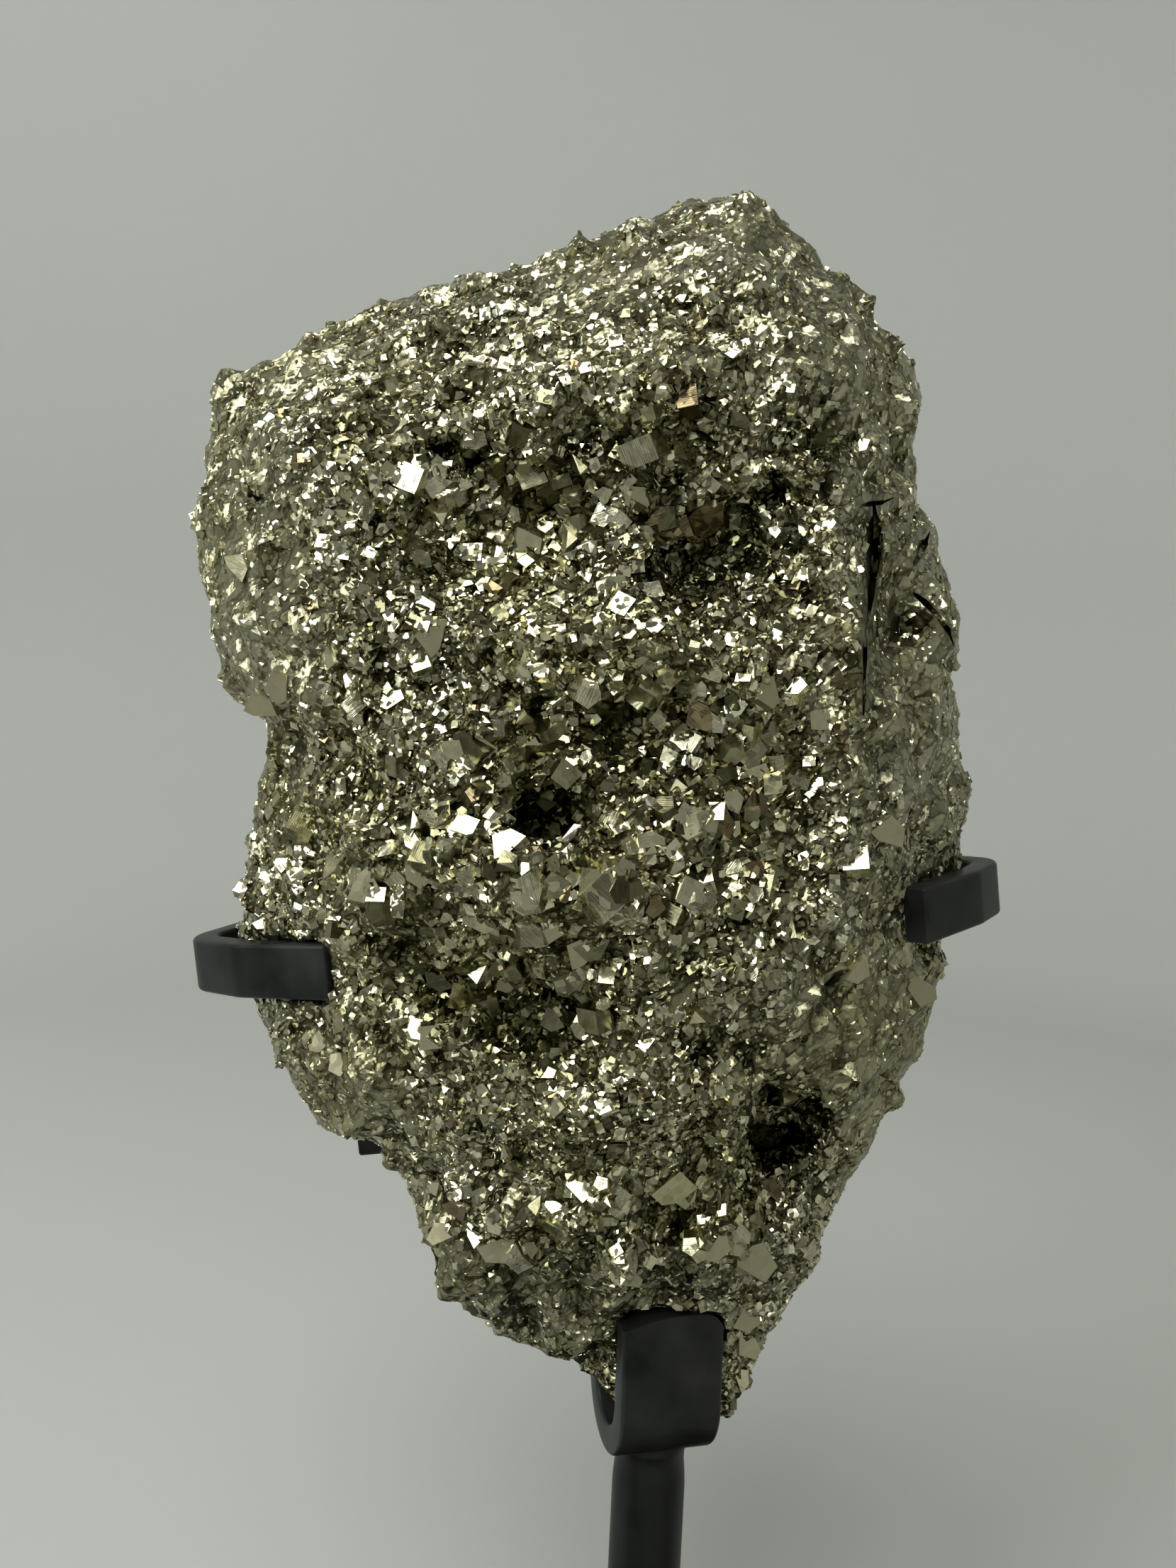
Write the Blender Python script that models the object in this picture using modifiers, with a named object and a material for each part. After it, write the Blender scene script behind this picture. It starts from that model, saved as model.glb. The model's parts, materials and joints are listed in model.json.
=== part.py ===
"""A pyrite specimen held upright by a black steel display stand.

The stone is one solid: a grown mass shaped by its outline, its thickness at a few heights,
named hollows, ridges and lumps, and block crystals fused to its skin. The stand has a round
foot, a post, a hook under the stone, a spine behind it, a claw bar bent round both of its
sides and a lower bar. X is to the right, -Y to the viewer and +Z up. The origin is the middle
of the foot's underside, on the post's axis. Sizes are in millimetres until a mesh is placed.
"""

import math
import random

import bmesh
import bpy
from mathutils import Euler, Matrix, Vector, noise
from mathutils.bvhtree import BVHTree

MM = 0.001
GAP = 0.3
WELD = 0.002
BAR_WELD = 0.01
FLAT_ANGLE = math.radians(1)
BEVEL_ANGLE = math.radians(40)

# Foot and post
FOOT_RADIUS = 80.0
FOOT_THICKNESS = 10.0
FOOT_EDGE = 1.5
FOOT_SIDES = 40
POST_RADIUS = 8.0
POST_SIDES = 32
SADDLE_SIDES = 40

# Hook: a flat bar bent to a U under the stone, on top of the post and turned a little
HOOK_WIDTH = 22.0
HOOK_THICKNESS = 6.0
HOOK_TURN = math.radians(14)
HOOK_BOTTOM = 107.5
HOOK_DEPTH = 27.0
HOOK_STEPS = 8
LIP_TOP = 142.0
LIP_LEAN = 1.0
LIP_SLOPE = math.radians(9)
HOOK_LEG_TOP = 133.0

# Spine: a flat bar welded behind the hook's leg, stepped back twice; depth and height
SPINE_WIDTH = 20.0
SPINE_THICKNESS = 6.0
SPINE_POINTS = [(19.4, 116.0), (19.4, 131.0), (32.6, 150.0), (32.6, 184.0), (49.1, 206.0),
                (49.1, 242.0)]
SPINE_BEND = 8.0
BEND_STEPS = 2

# Packing: a wedge on the spine's front that fills the space to the hook's turned leg
PACKING_SIDES = (-9.0, 2.0)
PACKING_HEIGHTS = (117.5, 129.5)
PACKING_ROOT = 1.0

# Claw bar: one flat bar, tilted a little, whose two ends come round to the front as fingers
CLAW_HEIGHT = 11.5
CLAW_THICKNESS = 5.5
CLAW_TILT = math.radians(8.0)
CLAW_MIDDLE_Z = 222.0
LEFT_FINGER = [(-70.5, -13.0), (-92.0, -2.5), (-105.5, 9.5), (-97.0, 27.0), (-50.0, 43.0)]
RIGHT_FINGER = [(48.0, 43.0), (62.0, 27.0), (71.5, 12.0), (63.0, 0.5), (47.5, -13.5)]
CLAW_BEND = 7.5

# Lower bar: short and straight, behind the stone
LOWER_ENDS = (-72.0, 36.0)
LOWER_MIDDLE_Z = 174.5
LOWER_Y = 26.5
BAR_EDGE = 0.7

# Stone: the outline seen from the front, as x and z, clockwise from the top
STONE_CENTRE = (-20.0, 250.0)
OUTLINE = [
    (0, 379), (8, 380), (16, 377), (21, 371), (28, 363), (38, 354), (47, 343), (48, 331),
    (48, 319), (53, 306), (59, 293), (61, 272), (65, 240), (61, 222), (57, 197), (50, 180),
    (42, 168), (37, 156), (36, 149), (31, 142), (26, 133), (23, 124), (19, 116), (12, 113),
    (-4, 111), (-13, 119), (-21, 125), (-30, 128), (-37, 129), (-44, 134), (-50, 142),
    (-53, 151), (-57, 161), (-61, 166), (-67, 171), (-74, 172), (-82, 183), (-92, 197),
    (-96, 214), (-94, 229), (-91, 245), (-88, 258), (-93, 264), (-103, 271), (-103, 286),
    (-108, 301), (-104, 312), (-103, 327), (-98, 336), (-88, 341), (-71, 352), (-45, 361),
    (-30, 367), (-17, 373), (-10, 373),
]

# Thickness of the stone by height: z, middle, reach to the front, reach to the back, and how
# full its rim is, from 0 for a wedge to 1 for an ellipse
SECTIONS = [
    (112, 0, 18, 12, 0.6), (125, 1, 23, 13, 0.5), (145, 2, 36, 19, 0.5), (165, 4, 42, 27, 0.5),
    (200, 7, 48, 33, 0.45), (235, 9, 50, 35, 0.4), (265, 9, 50, 35, 0.7), (300, 10, 50, 36, 0.85),
    (340, 12, 48, 34, 0.95), (380, 15, 42, 28, 1.0),
]

# Forms of the skin: face, x, z, half width, half height, turn in degrees, height outwards
FORMS = {
    "brow": ("front", -22, 326, 58, 10, 11, 7.5),
    "brow_right": ("front", 14, 336, 18, 12, 30, 6.0),
    "peak_lump": ("front", 6, 356, 17, 15, 0, 6.0),
    "upper_hollow": ("front", -34, 300, 26, 15, 8, -16.0),
    "upper_hollow_right": ("front", 3, 304, 15, 14, 0, -12.0),
    "left_shoulder": ("front", -74, 314, 14, 20, 0, 5.0),
    "left_lobe": ("front", -78, 280, 13, 15, 0, 5.0),
    "middle_ridge": ("front", -8, 281, 34, 8, 4, 6.5),
    "second_hollow": ("front", -18, 264, 26, 9, -6, -14.0),
    "dark_hole": ("front", -28, 250, 9, 7, 0, -12.0),
    "waist_ridge": ("front", -34, 238, 38, 8, -6, 7.5),
    "right_ridge": ("front", 27, 286, 6, 42, 3, 8.0),
    "right_recess": ("front", 44, 290, 7, 30, 3, -8.0),
    "left_seat": ("front", -84, 213, 17, 12, 6, -10.0),
    "right_seat": ("front", 58, 232, 13, 11, 6, -8.0),
    "lower_hollow": ("front", -36, 216, 22, 9, 5, -14.0),
    "centre_swell": ("front", 6, 222, 22, 14, 0, 6.0),
    "lower_ridge": ("front", -22, 191, 30, 8, 8, 9.0),
    "side_hole": ("front", 22, 181, 9, 10, 20, -16.0),
    "side_lump": ("front", 36, 196, 9, 11, 0, 6.0),
    "left_step": ("front", -62, 188, 15, 9, -30, 4.5),
    "lower_lump_left": ("front", -37, 160, 12, 10, 0, 7.0),
    "lower_lump_middle": ("front", -10, 166, 11, 9, 0, 6.5),
    "lower_lump_right": ("front", 16, 158, 10, 10, 0, 7.0),
    "lower_groove": ("front", -20, 149, 24, 4, 4, -5.0),
    "back_ledge": ("back", -25, 300, 50, 9, -12, 7.0),
    "back_hollow": ("back", -48, 268, 22, 18, 0, -9.0),
    "back_face": ("back", 24, 262, 20, 26, 10, -6.0),
    "back_lump": ("back", -62, 232, 15, 13, 0, 6.0),
    "back_pit": ("back", 8, 330, 14, 10, 20, -8.0),
    "back_step": ("back", -40, 186, 24, 8, 15, 5.0),
}

# Skin: grown knobs everywhere, then block crystals, coarse in the hollows
SKIN_DIVISIONS = 5
SKIN_TRIANGLE_SHARE = 0.46
FRONT_CROWDING = 0.3
KNOB_SPACING = 17.0
KNOB_HEIGHT = 8.0
KNOB_LEVEL = 0.45
RIPPLE_SPACING = 42.0
RIPPLE_HEIGHT = 4.5
RIM_SKIN_SHARE = 0.45
CRYSTAL_COUNT = 200
CRYSTAL_SIZE = (5.5, 9.0)
COARSE_CRYSTAL_SIZE = (8.0, 12.0)
COARSE_DEPTH = -2.5
CRYSTAL_SINK = 0.2
CRYSTAL_NARROWEST = 0.8
FRONT_SHARE = 1.6
BACK_SHARE = 0.8
BAR_CLEARANCE = 0.8
SEED = 11

PYRITE_COLOUR = (0.30, 0.28, 0.17, 1.0)
PYRITE_ROUGHNESS = 0.3
PAINT_COLOUR = (0.012, 0.013, 0.013, 1.0)
PAINT_ROUGHNESS = 0.4


def clear_scene():
    """Remove the objects that a new file holds."""
    for item in list(bpy.data.objects):
        bpy.data.objects.remove(item, do_unlink=True)


def new_collection(name):
    """A collection under the scene's own."""
    collection = bpy.data.collections.new(name)
    bpy.context.scene.collection.children.link(collection)
    return collection


def new_material(name, colour, roughness, metallic):
    """A Principled material of one colour."""
    material = bpy.data.materials.new(name)
    material.use_nodes = True
    shader = material.node_tree.nodes["Principled BSDF"]
    shader.inputs["Base Color"].default_value = colour
    shader.inputs["Roughness"].default_value = roughness
    shader.inputs["Metallic"].default_value = metallic
    material.diffuse_color = colour
    return material


def new_object(name, mesh, material, collection):
    """An object with one material, placed by its mesh."""
    item = bpy.data.objects.new(name, mesh)
    if material is not None:
        mesh.materials.clear()
        mesh.materials.append(material)
    collection.objects.link(item)
    return item


def move_to(item, collection):
    """Take an object out of its collections and put it in another."""
    for owner in list(item.users_collection):
        owner.objects.unlink(item)
    collection.objects.link(item)


def mesh_from(shape, name):
    """A mesh in metres from a bmesh in millimetres."""
    bmesh.ops.scale(shape, vec=(MM, MM, MM), verts=shape.verts)
    mesh = bpy.data.meshes.new(name)
    shape.to_mesh(mesh)
    shape.free()
    return mesh


def add_bevel(item, width):
    """Break the edges of a made piece."""
    bevel = item.modifiers.new("Broken edges", "BEVEL")
    bevel.width = width * MM
    bevel.segments = 1
    bevel.limit_method = "ANGLE"
    bevel.angle_limit = BEVEL_ANGLE


def evaluated_mesh(item):
    """The mesh that an object shows with its modifiers."""
    depsgraph = bpy.context.evaluated_depsgraph_get()
    return bpy.data.meshes.new_from_object(item.evaluated_get(depsgraph), depsgraph=depsgraph)


def filleted(corners, radius):
    """A flat path through the corners, each inner one rounded to an arc."""
    path = [Vector(corners[0])]
    for before, corner, after in zip(corners, corners[1:], corners[2:]):
        corner = Vector(corner)
        back = (Vector(before) - corner).normalized()
        ahead = (Vector(after) - corner).normalized()
        half_angle = back.angle(ahead) / 2
        reach = radius / math.tan(half_angle)
        centre = corner + (back + ahead).normalized() * radius / math.sin(half_angle)
        start = corner + back * reach - centre
        end = corner + ahead * reach - centre
        turn = start.angle_signed(end)
        for step in range(BEND_STEPS + 1):
            angle = -turn * step / BEND_STEPS
            path.append(centre + Matrix.Rotation(angle, 2) @ start)
    path.append(Vector(corners[-1]))
    return path


def band_outline(path, thickness):
    """The closed outline of a band of even thickness along a flat path."""
    left, right = [], []
    for index, point in enumerate(path):
        before = path[max(index - 1, 0)]
        after = path[min(index + 1, len(path) - 1)]
        into = (point - before).normalized() if index else (after - point).normalized()
        out = (after - point).normalized() if index < len(path) - 1 else into
        side = (Vector((-into.y, into.x)) + Vector((-out.y, out.x))).normalized()
        reach = thickness / 2 / max(side.dot(Vector((-into.y, into.x))), 0.5)
        left.append(point + side * reach)
        right.append(point - side * reach)
    return left + right[::-1]


def bar_mesh(name, path, thickness, width, placing):
    """A flat bar: a band outline as a filled curve, extruded to its width and placed."""
    curve = bpy.data.curves.new(name, "CURVE")
    curve.dimensions = "2D"
    curve.fill_mode = "BOTH"
    curve.extrude = width / 2
    outline = band_outline(path, thickness)
    spline = curve.splines.new("POLY")
    spline.points.add(len(outline) - 1)
    for point, place in zip(spline.points, outline):
        point.co = (place.x, place.y, 0.0, 1.0)
    spline.use_cyclic_u = True
    guide = bpy.data.objects.new(name + "_outline", curve)
    bpy.context.scene.collection.objects.link(guide)
    mesh = evaluated_mesh(guide)
    bpy.data.objects.remove(guide, do_unlink=True)
    shape = bmesh.new()
    shape.from_mesh(mesh)
    bmesh.ops.remove_doubles(shape, verts=shape.verts, dist=BAR_WELD)
    bmesh.ops.dissolve_limit(shape, angle_limit=FLAT_ANGLE, verts=shape.verts,
                             edges=shape.edges)
    bmesh.ops.recalc_face_normals(shape, faces=shape.faces)
    bmesh.ops.transform(shape, matrix=placing, verts=shape.verts)
    return mesh_from(shape, name)


def hook_path():
    """The hook's middle line, as depth and height: lip, round bottom and back leg."""
    radius = (HOOK_DEPTH - HOOK_THICKNESS) / 2
    centre_z = HOOK_BOTTOM + HOOK_DEPTH / 2
    arc = []
    for step in range(HOOK_STEPS + 1):
        angle = math.pi * step / HOOK_STEPS
        arc.append(Vector((-radius * math.cos(angle), centre_z - radius * math.sin(angle))))
    lip = Vector((LIP_LEAN - radius, LIP_TOP))
    leg = Vector((radius, HOOK_LEG_TOP))
    return [lip] + arc + [leg]


def slope_lip(mesh):
    """Cut the hook's lip along a slope that rises to the right."""
    shape = bmesh.new()
    shape.from_mesh(mesh)
    turn = Matrix.Rotation(HOOK_TURN, 3, "Z")
    normal = turn @ Vector((-math.sin(LIP_SLOPE), 0.0, math.cos(LIP_SLOPE)))
    everything = shape.verts[:] + shape.edges[:] + shape.faces[:]
    middle = turn @ Vector((0.0, -HOOK_DEPTH / 2, LIP_TOP - HOOK_WIDTH / 2 * math.tan(LIP_SLOPE)))
    bmesh.ops.bisect_plane(shape, geom=everything, plane_co=middle * MM, plane_no=normal,
                           clear_outer=True)
    bmesh.ops.holes_fill(shape, edges=[edge for edge in shape.edges if edge.is_boundary])
    shape.to_mesh(mesh)
    shape.free()


def packing_mesh():
    """The wedge between the hook's turned leg and the spine, which it reaches into."""
    root = SPINE_POINTS[0][0] - SPINE_THICKNESS / 2 + PACKING_ROOT
    shape = bmesh.new()
    for x in PACKING_SIDES:
        leg = (HOOK_DEPTH / 2 + GAP + x * math.sin(HOOK_TURN)) / math.cos(HOOK_TURN)
        for y in (leg, root):
            for z in PACKING_HEIGHTS:
                shape.verts.new((x, y, z))
    bmesh.ops.convex_hull(shape, input=shape.verts)
    bmesh.ops.recalc_face_normals(shape, faces=shape.faces)
    return mesh_from(shape, "packing")


def upright_placing(turn):
    """Stands a flat outline of depth and height upright, turned about the post's axis."""
    upright = Matrix(((0, 0, 1, 0), (1, 0, 0, 0), (0, 1, 0, 0), (0, 0, 0, 1)))
    return Matrix.Rotation(turn, 4, "Z") @ upright


def tilted_placing(height):
    """Lays a flat outline level and tilts it about the depth axis, at a height."""
    return Matrix.Translation((0, 0, height)) @ Matrix.Rotation(-CLAW_TILT, 4, "Y")


def claw_path():
    """The claw bar's middle line: left finger, back run and right finger."""
    return filleted(LEFT_FINGER + RIGHT_FINGER, CLAW_BEND)


def lower_path():
    """The lower bar's middle line."""
    return [Vector((LOWER_ENDS[0], LOWER_Y)), Vector((LOWER_ENDS[1], LOWER_Y))]


def bars(extra):
    """The flat bars' meshes, each made thicker and wider by an extra allowance."""
    grow = 2 * extra
    return {
        "hook": bar_mesh("hook", hook_path(), HOOK_THICKNESS + grow, HOOK_WIDTH + grow,
                         upright_placing(HOOK_TURN)),
        "spine": bar_mesh("spine", filleted(SPINE_POINTS, SPINE_BEND),
                          SPINE_THICKNESS + grow, SPINE_WIDTH + grow, upright_placing(0.0)),
        "claw_bar": bar_mesh("claw_bar", claw_path(), CLAW_THICKNESS + grow,
                             CLAW_HEIGHT + grow, tilted_placing(CLAW_MIDDLE_Z)),
        "lower_bar": bar_mesh("lower_bar", lower_path(), CLAW_THICKNESS + grow,
                              CLAW_HEIGHT + grow, tilted_placing(LOWER_MIDDLE_Z)),
    }


def make_foot(material, collection):
    """The round foot plate."""
    bpy.ops.mesh.primitive_cylinder_add(vertices=FOOT_SIDES, radius=FOOT_RADIUS * MM,
                                        depth=FOOT_THICKNESS * MM,
                                        location=(0, 0, FOOT_THICKNESS / 2 * MM))
    foot = bpy.context.object
    foot.name = "base"
    foot.data.materials.append(material)
    move_to(foot, collection)
    add_bevel(foot, FOOT_EDGE)


def make_post(material, collection, cutters):
    """The round post, its top hollowed to sit under the hook's round bottom."""
    bottom = FOOT_THICKNESS + GAP
    top = HOOK_BOTTOM + HOOK_DEPTH / 2
    bpy.ops.mesh.primitive_cylinder_add(vertices=POST_SIDES, radius=POST_RADIUS * MM,
                                        depth=(top - bottom) * MM,
                                        location=(0, 0, (top + bottom) / 2 * MM))
    post = bpy.context.object
    post.name = "post"
    post.data.materials.append(material)
    bpy.ops.mesh.primitive_cylinder_add(vertices=SADDLE_SIDES, radius=(HOOK_DEPTH / 2 + GAP) * MM,
                                        depth=HOOK_WIDTH * 2 * MM, location=(0, 0, top * MM),
                                        rotation=(0, math.pi / 2, HOOK_TURN))
    saddle = bpy.context.object
    saddle.name = "post_saddle"
    saddle.hide_render = True
    saddle.display_type = "WIRE"
    move_to(post, collection)
    move_to(saddle, cutters)
    cut = post.modifiers.new("Saddle", "BOOLEAN")
    cut.operation = "DIFFERENCE"
    cut.object = saddle
    cut.solver = "EXACT"


def between(table, height):
    """The row of values at a height, read straight between the rows of a table."""
    if height <= table[0][0]:
        return table[0][1:]
    for low, high in zip(table, table[1:]):
        if height <= high[0]:
            share = (height - low[0]) / (high[0] - low[0])
            return [a + (b - a) * share for a, b in zip(low[1:], high[1:])]
    return table[-1][1:]


def outline_radii():
    """The outline as angle and radius about the stone's centre, in rising order of angle."""
    polar = []
    for x, z in OUTLINE:
        dx, dz = x - STONE_CENTRE[0], z - STONE_CENTRE[1]
        polar.append((math.atan2(dz, dx), math.hypot(dx, dz)))
    polar.sort()
    first, last = polar[0], polar[-1]
    turn = 2 * math.pi
    return [(last[0] - turn, last[1])] + polar + [(first[0] + turn, first[1])]


def form_height(face, x, z):
    """The height that the named forms add to a face of the stone at a place."""
    total = 0.0
    for side, form_x, form_z, half_width, half_height, turn, height in FORMS.values():
        if side != face:
            continue
        angle = math.radians(turn)
        dx, dz = x - form_x, z - form_z
        along = (dx * math.cos(angle) + dz * math.sin(angle)) / half_width
        across = (dz * math.cos(angle) - dx * math.sin(angle)) / half_height
        total += height * math.exp(-(along ** 2 + across ** 2))
    return total


def stone_point(direction, radii):
    """The place on the plain stone that a direction from its middle reaches."""
    angle = math.atan2(direction.z, direction.x)
    radius = between(radii, angle)[0]
    spread = math.hypot(direction.x, direction.z)
    x = STONE_CENTRE[0] + radius * spread * math.cos(angle)
    z = STONE_CENTRE[1] + radius * spread * math.sin(angle)
    middle, front, back, fullness = between(SECTIONS, z)
    share = abs(direction.y)
    crown = fullness * share + (1 - fullness) * share ** 2
    face, side, reach = ("front", -1, front) if direction.y < 0 else ("back", 1, back)
    plain = Vector((x, middle + side * reach * crown, z))
    skin = skin_height(plain)
    outwards = Vector((math.cos(angle), 0.0, math.sin(angle))) * RIM_SKIN_SHARE * spread ** 4
    outwards.y = side * share ** 0.5
    forms = Vector((0.0, side * share ** 0.5, 0.0)) * form_height(face, x, z)
    return plain + outwards * skin + forms


def skin_height(place):
    """Ripples and grown knobs of the skin at a place."""
    ripple = noise.noise(place / RIPPLE_SPACING) * RIPPLE_HEIGHT
    nearest = noise.voronoi(place / KNOB_SPACING, distance_metric="DISTANCE")[0][0]
    return ripple + (KNOB_LEVEL - nearest) * KNOB_HEIGHT


def stone_body():
    """The stone's grown mass, without crystals, as a bmesh."""
    radii = outline_radii()
    shape = bmesh.new()
    bmesh.ops.create_icosphere(shape, subdivisions=SKIN_DIVISIONS, radius=1.0)
    for vertex in shape.verts:
        direction = vertex.co.normalized()
        direction.y -= FRONT_CROWDING * (1 - direction.y ** 2)
        vertex.co = stone_point(direction.normalized(), radii)
    shape.normal_update()
    return shape


def is_coarse(place):
    """Whether a place of the skin lies in one of the front hollows."""
    return place.y < 0 and form_height("front", place.x, place.z) < COARSE_DEPTH


def bar_distance(trees, place):
    """How far a place is from the nearest bar, in millimetres."""
    return min(tree.find_nearest(place * MM)[3] for tree in trees) / MM


def crystal_blocks(body, chance):
    """Block crystals set into the skin at random places and turns, as one bmesh."""
    trees = []
    for mesh in bars(0.0).values():
        places = [vertex.co for vertex in mesh.vertices]
        trees.append(BVHTree.FromPolygons(places, [face.vertices for face in mesh.polygons]))
    faces = sorted(body.faces, key=lambda face: face.index)
    areas = [face.calc_area() * (FRONT_SHARE if face.normal.y < 0 else BACK_SHARE)
             for face in faces]
    blocks = bmesh.new()
    for face in chance.choices(faces, weights=areas, k=CRYSTAL_COUNT):
        place = face.calc_center_median()
        low, high = COARSE_CRYSTAL_SIZE if is_coarse(place) else CRYSTAL_SIZE
        size = chance.uniform(low, high)
        turn = Euler([chance.uniform(0, math.tau) for _ in range(3)]).to_matrix().to_4x4()
        shape = Matrix.Diagonal((size, size * chance.uniform(CRYSTAL_NARROWEST, 1.0), size, 1.0))
        if bar_distance(trees, place) < size * BAR_CLEARANCE:
            continue
        sunk = place - face.normal * size * CRYSTAL_SINK
        bmesh.ops.create_cube(blocks, size=1.0, matrix=Matrix.Translation(sunk) @ turn @ shape)
    return blocks


def keep_largest_shell(shape):
    """Drop chips of a bmesh that a cut has freed from the main body."""
    left = set(shape.verts)
    shells = []
    while left:
        start = left.pop()
        shell, unvisited = {start}, [start]
        while unvisited:
            vertex = unvisited.pop()
            for edge in vertex.link_edges:
                other = edge.other_vert(vertex)
                if other in left:
                    left.discard(other)
                    shell.add(other)
                    unvisited.append(other)
        shells.append(shell)
    largest = max(shells, key=len)
    loose = [vertex for vertex in shape.verts if vertex not in largest]
    bmesh.ops.delete(shape, geom=loose, context="VERTS")


def join_mesh(item, other, operation):
    """Join or cut an object's mesh with another object's, and keep the result as its mesh."""
    joint = item.modifiers.new("Join", "BOOLEAN")
    joint.operation = operation
    joint.object = other
    joint.solver = "EXACT"
    joint.use_self = operation == "UNION"
    mesh = evaluated_mesh(item)
    item.modifiers.remove(joint)
    item.data = mesh


def make_stone(material, collection, cutters):
    """The stone: thinned body, fused crystals, and seats where the bars pass."""
    chance = random.Random(SEED)
    body = stone_body()
    blocks = crystal_blocks(body, chance)
    stone = new_object("pyrite", mesh_from(body, "pyrite"), material, collection)
    thin = stone.modifiers.new("Fewer triangles", "DECIMATE")
    thin.ratio = SKIN_TRIANGLE_SHARE
    stone.data = evaluated_mesh(stone)
    stone.modifiers.clear()
    crystals = new_object("crystal_blocks", mesh_from(blocks, "crystal_blocks"), None, cutters)
    join_mesh(stone, crystals, "UNION")
    for name, mesh in bars(GAP).items():
        cutter = new_object(name + "_seat", mesh, None, cutters)
        join_mesh(stone, cutter, "DIFFERENCE")
    shape = bmesh.new()
    shape.from_mesh(stone.data)
    keep_largest_shell(shape)
    bmesh.ops.remove_doubles(shape, verts=shape.verts, dist=WELD * MM)
    bmesh.ops.dissolve_degenerate(shape, dist=WELD * MM, edges=shape.edges)
    bmesh.ops.triangulate(shape, faces=shape.faces)
    shape.to_mesh(stone.data)
    shape.free()
    for cutter in list(cutters.objects):
        cutter.hide_render = True
        cutter.display_type = "WIRE"


def main():
    """Build the stone and its stand."""
    clear_scene()
    parts = new_collection("pyrite_specimen")
    cutters = new_collection("cutters")
    pyrite = new_material("pyrite", PYRITE_COLOUR, PYRITE_ROUGHNESS, 1.0)
    paint = new_material("black_paint", PAINT_COLOUR, PAINT_ROUGHNESS, 0.0)
    make_foot(paint, parts)
    make_post(paint, parts, cutters)
    for name, mesh in bars(0.0).items():
        if name == "hook":
            slope_lip(mesh)
        bar = new_object(name, mesh, paint, parts)
        if name == "spine":
            packing = new_object("spine_packing", packing_mesh(), None, cutters)
            join_mesh(bar, packing, "UNION")
        add_bevel(bar, BAR_EDGE)
    make_stone(pyrite, parts, cutters)


main()
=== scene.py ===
"""The looks of a pyrite specimen on its black steel display stand.

The stone's skin is a finer copy of its solid with small knobs, pits and clefts, and thousands
of crystals grow on it: fine ones everywhere, blocks in the hollows and a few large ones at
their own places. The stand's straps are rolled along their paths with rounded edges. X is to
the right, -Y to the viewer and +Z up, in metres.
"""

import json
import math
import random
from itertools import product

import bmesh
import bpy
from bpy.props import FloatProperty, FloatVectorProperty, IntProperty, PointerProperty
from mathutils import Matrix, Vector, noise
from mathutils.bvhtree import BVHTree

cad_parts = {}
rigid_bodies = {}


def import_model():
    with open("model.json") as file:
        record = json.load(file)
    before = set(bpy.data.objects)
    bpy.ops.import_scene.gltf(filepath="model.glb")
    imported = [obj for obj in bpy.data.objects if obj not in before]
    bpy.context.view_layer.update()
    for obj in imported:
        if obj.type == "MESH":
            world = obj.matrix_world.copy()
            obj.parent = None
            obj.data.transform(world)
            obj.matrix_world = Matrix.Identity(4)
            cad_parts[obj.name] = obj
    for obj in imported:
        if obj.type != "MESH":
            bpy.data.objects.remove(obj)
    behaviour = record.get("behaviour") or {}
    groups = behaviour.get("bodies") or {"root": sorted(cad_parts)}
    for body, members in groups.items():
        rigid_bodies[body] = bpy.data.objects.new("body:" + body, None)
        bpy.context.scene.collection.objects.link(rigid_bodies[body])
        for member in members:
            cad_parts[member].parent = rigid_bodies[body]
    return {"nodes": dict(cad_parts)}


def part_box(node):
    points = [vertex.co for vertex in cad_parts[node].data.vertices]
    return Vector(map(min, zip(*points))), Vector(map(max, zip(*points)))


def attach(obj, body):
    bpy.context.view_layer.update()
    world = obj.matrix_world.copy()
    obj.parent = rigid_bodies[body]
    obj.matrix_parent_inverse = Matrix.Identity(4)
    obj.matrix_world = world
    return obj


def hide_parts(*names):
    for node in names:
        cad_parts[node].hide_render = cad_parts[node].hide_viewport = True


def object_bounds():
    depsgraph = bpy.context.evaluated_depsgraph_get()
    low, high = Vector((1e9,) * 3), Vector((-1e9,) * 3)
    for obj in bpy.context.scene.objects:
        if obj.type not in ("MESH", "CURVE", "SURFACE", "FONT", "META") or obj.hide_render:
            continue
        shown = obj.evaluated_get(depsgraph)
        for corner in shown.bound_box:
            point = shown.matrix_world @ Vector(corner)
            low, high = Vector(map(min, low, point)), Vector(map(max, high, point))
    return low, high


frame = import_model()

CAD_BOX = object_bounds()

bl_info = {
    "name": "Pyrite Specimen on a Stand",
    "version": (1, 0, 0),
    "blender": (4, 5, 0),
    "location": "View3D > Sidebar > Pyrite",
    "description": "Builds a crystal-covered pyrite specimen, its steel stand and a plain stage",
    "category": "Object",
}

MM = 0.001
BODY = "root"
STONE_SLOT = "pyrite"
PAINT_SLOT = "black_paint"
MERGE_DISTANCE = 0.000001
WELD_DISTANCE = 0.000005

# The photograph's camera: place, tilt down, turn about the line of sight and focal length
PHOTO_SIZE = (1659, 2212)
FOCAL_PIXELS = 1662.0
CAMERA_PLACE = Vector((-20.0, -248.8, 268.8)) * MM
CAMERA_PITCH = math.radians(4.0)
CAMERA_ROLL = math.radians(2.5)
SENSOR_SIZE = 36.0

# Coarse zones of the front, by the photograph's pixels: middle, half width, half height, amount
COARSE_ZONES = {
    "upper_hollow": (740, 690, 300, 130, 0.9),
    "second_hollow": (880, 1010, 330, 110, 0.8),
    "waist": (700, 1240, 330, 120, 1.0),
    "lower_hollow": (700, 1440, 230, 90, 0.8),
    "right_middle": (1030, 1180, 110, 120, 0.65),
    "lower_lumps": (830, 1760, 300, 110, 0.8),
    "right_low": (1120, 1430, 120, 130, 0.5),
}

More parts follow.
